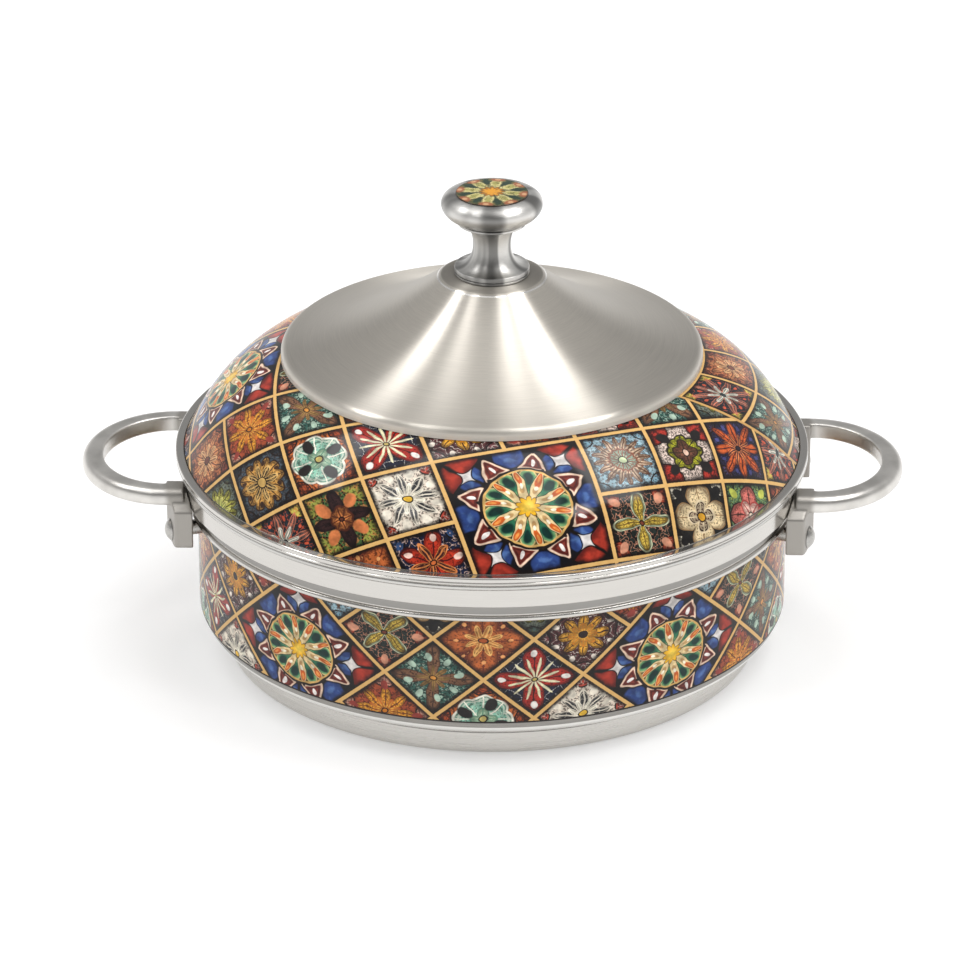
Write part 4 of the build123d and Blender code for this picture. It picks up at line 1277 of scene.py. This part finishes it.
def seen(shade):
    """1 for rays from the camera, and for rays mirrored or let through by a piece."""
    kinds = ("Camera", "Glossy", "Transmission")
    rays = [shade.node("LightPath", {}, {}, "Is %s Ray" % kind) for kind in kinds]
    return shade.math("MINIMUM", rays[0] + rays[1] + rays[2], 1.0)


def studio_floor():
    mesh = bpy.data.meshes.new("floor")
    turns = [tau * k / 96 for k in range(96)]
    mesh.from_pydata([(4 * sin(t), -4 * cos(t), 0) for t in turns], [], [list(range(96))])
    floor = bpy.data.objects.new("floor", mesh)
    bpy.context.scene.collection.objects.link(floor)
    material = bpy.data.materials.new("pale floor")
    material.use_nodes = True
    tree = material.node_tree
    shade = Shade(tree)
    tree.nodes.remove(tree.nodes["Principled BSDF"])
    cloud = shade.noise(shade.place(), 3.0, 3.0)
    pale = shade.mix(paint(226, 226, 226), paint(229, 229, 229), cloud)
    lift = shade.mix((0, 0, 0, 1), (0.25, 0.25, 0.25, 1), seen(shade))
    matt = shade.node("BsdfDiffuse", {}, {"Color": pale})
    glow = shade.node("Emission", {}, {"Color": lift, "Strength": 1.0})
    both = shade.node("AddShader", {}, {0: matt, 1: glow})
    tree.links.new(both.socket, tree.nodes["Material Output"].inputs[0])
    mesh.materials.append(material)


studio_floor()
world = bpy.data.worlds.new("studio room")
bpy.context.scene.world = world
world.use_nodes = True
shade = Shade(world.node_tree)
background = world.node_tree.nodes["Background"]
_, y, up = shade.parts(shade.place("Generated"))
ceiling = shade.fade(up, 0.8, 0.97, 0.0, 0.53)
walls = shade.fade(up, 0.1, 0.4) * shade.fade(up, 0.97, 0.8)
dark_end = walls * shade.fade(y, 0.0, -0.5) * 0.3
far_end = walls * shade.fade(y, 0.55, 0.95) * 0.2
room = shade.fade(up, 0.02, 0.3, 1.0, 0.55) + ceiling - dark_end - far_end
sky = shade.mix((0.8, 0.8, 0.8, 1), shade.vector(room, room, room), seen(shade))
world.node_tree.links.new(sky.socket, background.inputs["Color"])


def lamp(name, place, size, power, along):
    """A softbox aimed at the pot. along is a level direction that its longer side lies in."""
    light = bpy.data.lights.new(name, "AREA")
    light.shape = "RECTANGLE"
    light.size, light.size_y = size
    light.energy = power
    softbox = bpy.data.objects.new(name, light)
    softbox.location = place
    way = (Vector(place) - Vector((0, 0, 80 * mm))).normalized()
    upward = way.cross(Vector(along).normalized()).normalized()
    softbox.rotation_euler = Matrix((upward.cross(way), upward, way)).transposed().to_euler()
    bpy.context.scene.collection.objects.link(softbox)


lamp("ceiling strip 1", (-1.02, 0.19, 1.5), (1.2, 0.28), 5.2, along=(0.82, 0.82, 0))
lamp("ceiling strip 2", (-0.53, -0.18, 1.5), (1.2, 0.12), 1.4, along=(0.55, 0.84, 0))
lamp("ceiling strip 3", (0.29, -0.26, 1.5), (1.2, 0.24), 2.3, along=(-0.3, 0.95, 0))
lamp("ceiling strip 4", (0.79, -0.06, 1.5), (1.2, 0.44), 8.6, along=(-0.6, 0.8, 0))
lamp("front light right", (0.85, -0.875, 1.5), (0.24, 0.2), 1.5, along=(0.7, 0.7, 0))
lamp("front light left", (-0.75, -0.95, 1.5), (0.24, 0.2), 0.8, along=(0.7, -0.7, 0))

camera = bpy.data.cameras.new("camera")
camera.lens, camera.sensor_width = 208.5, 36
camera.shift_x, camera.shift_y = -0.0098, 0.0247
camera.clip_end = 50
view = bpy.data.objects.new("camera", camera)
aim = Vector((0, 0, 60 * mm))
turn, rise, distance = radians(1.6), radians(25.42), 2.401
view.location = aim + distance * Vector((sin(turn) * cos(rise), -cos(turn) * cos(rise), sin(rise)))
view.rotation_euler = (aim - view.location).to_track_quat("-Z", "Y").to_euler()
bpy.context.scene.collection.objects.link(view)
bpy.context.scene.camera = view
bpy.context.scene.view_settings.view_transform = "Standard"
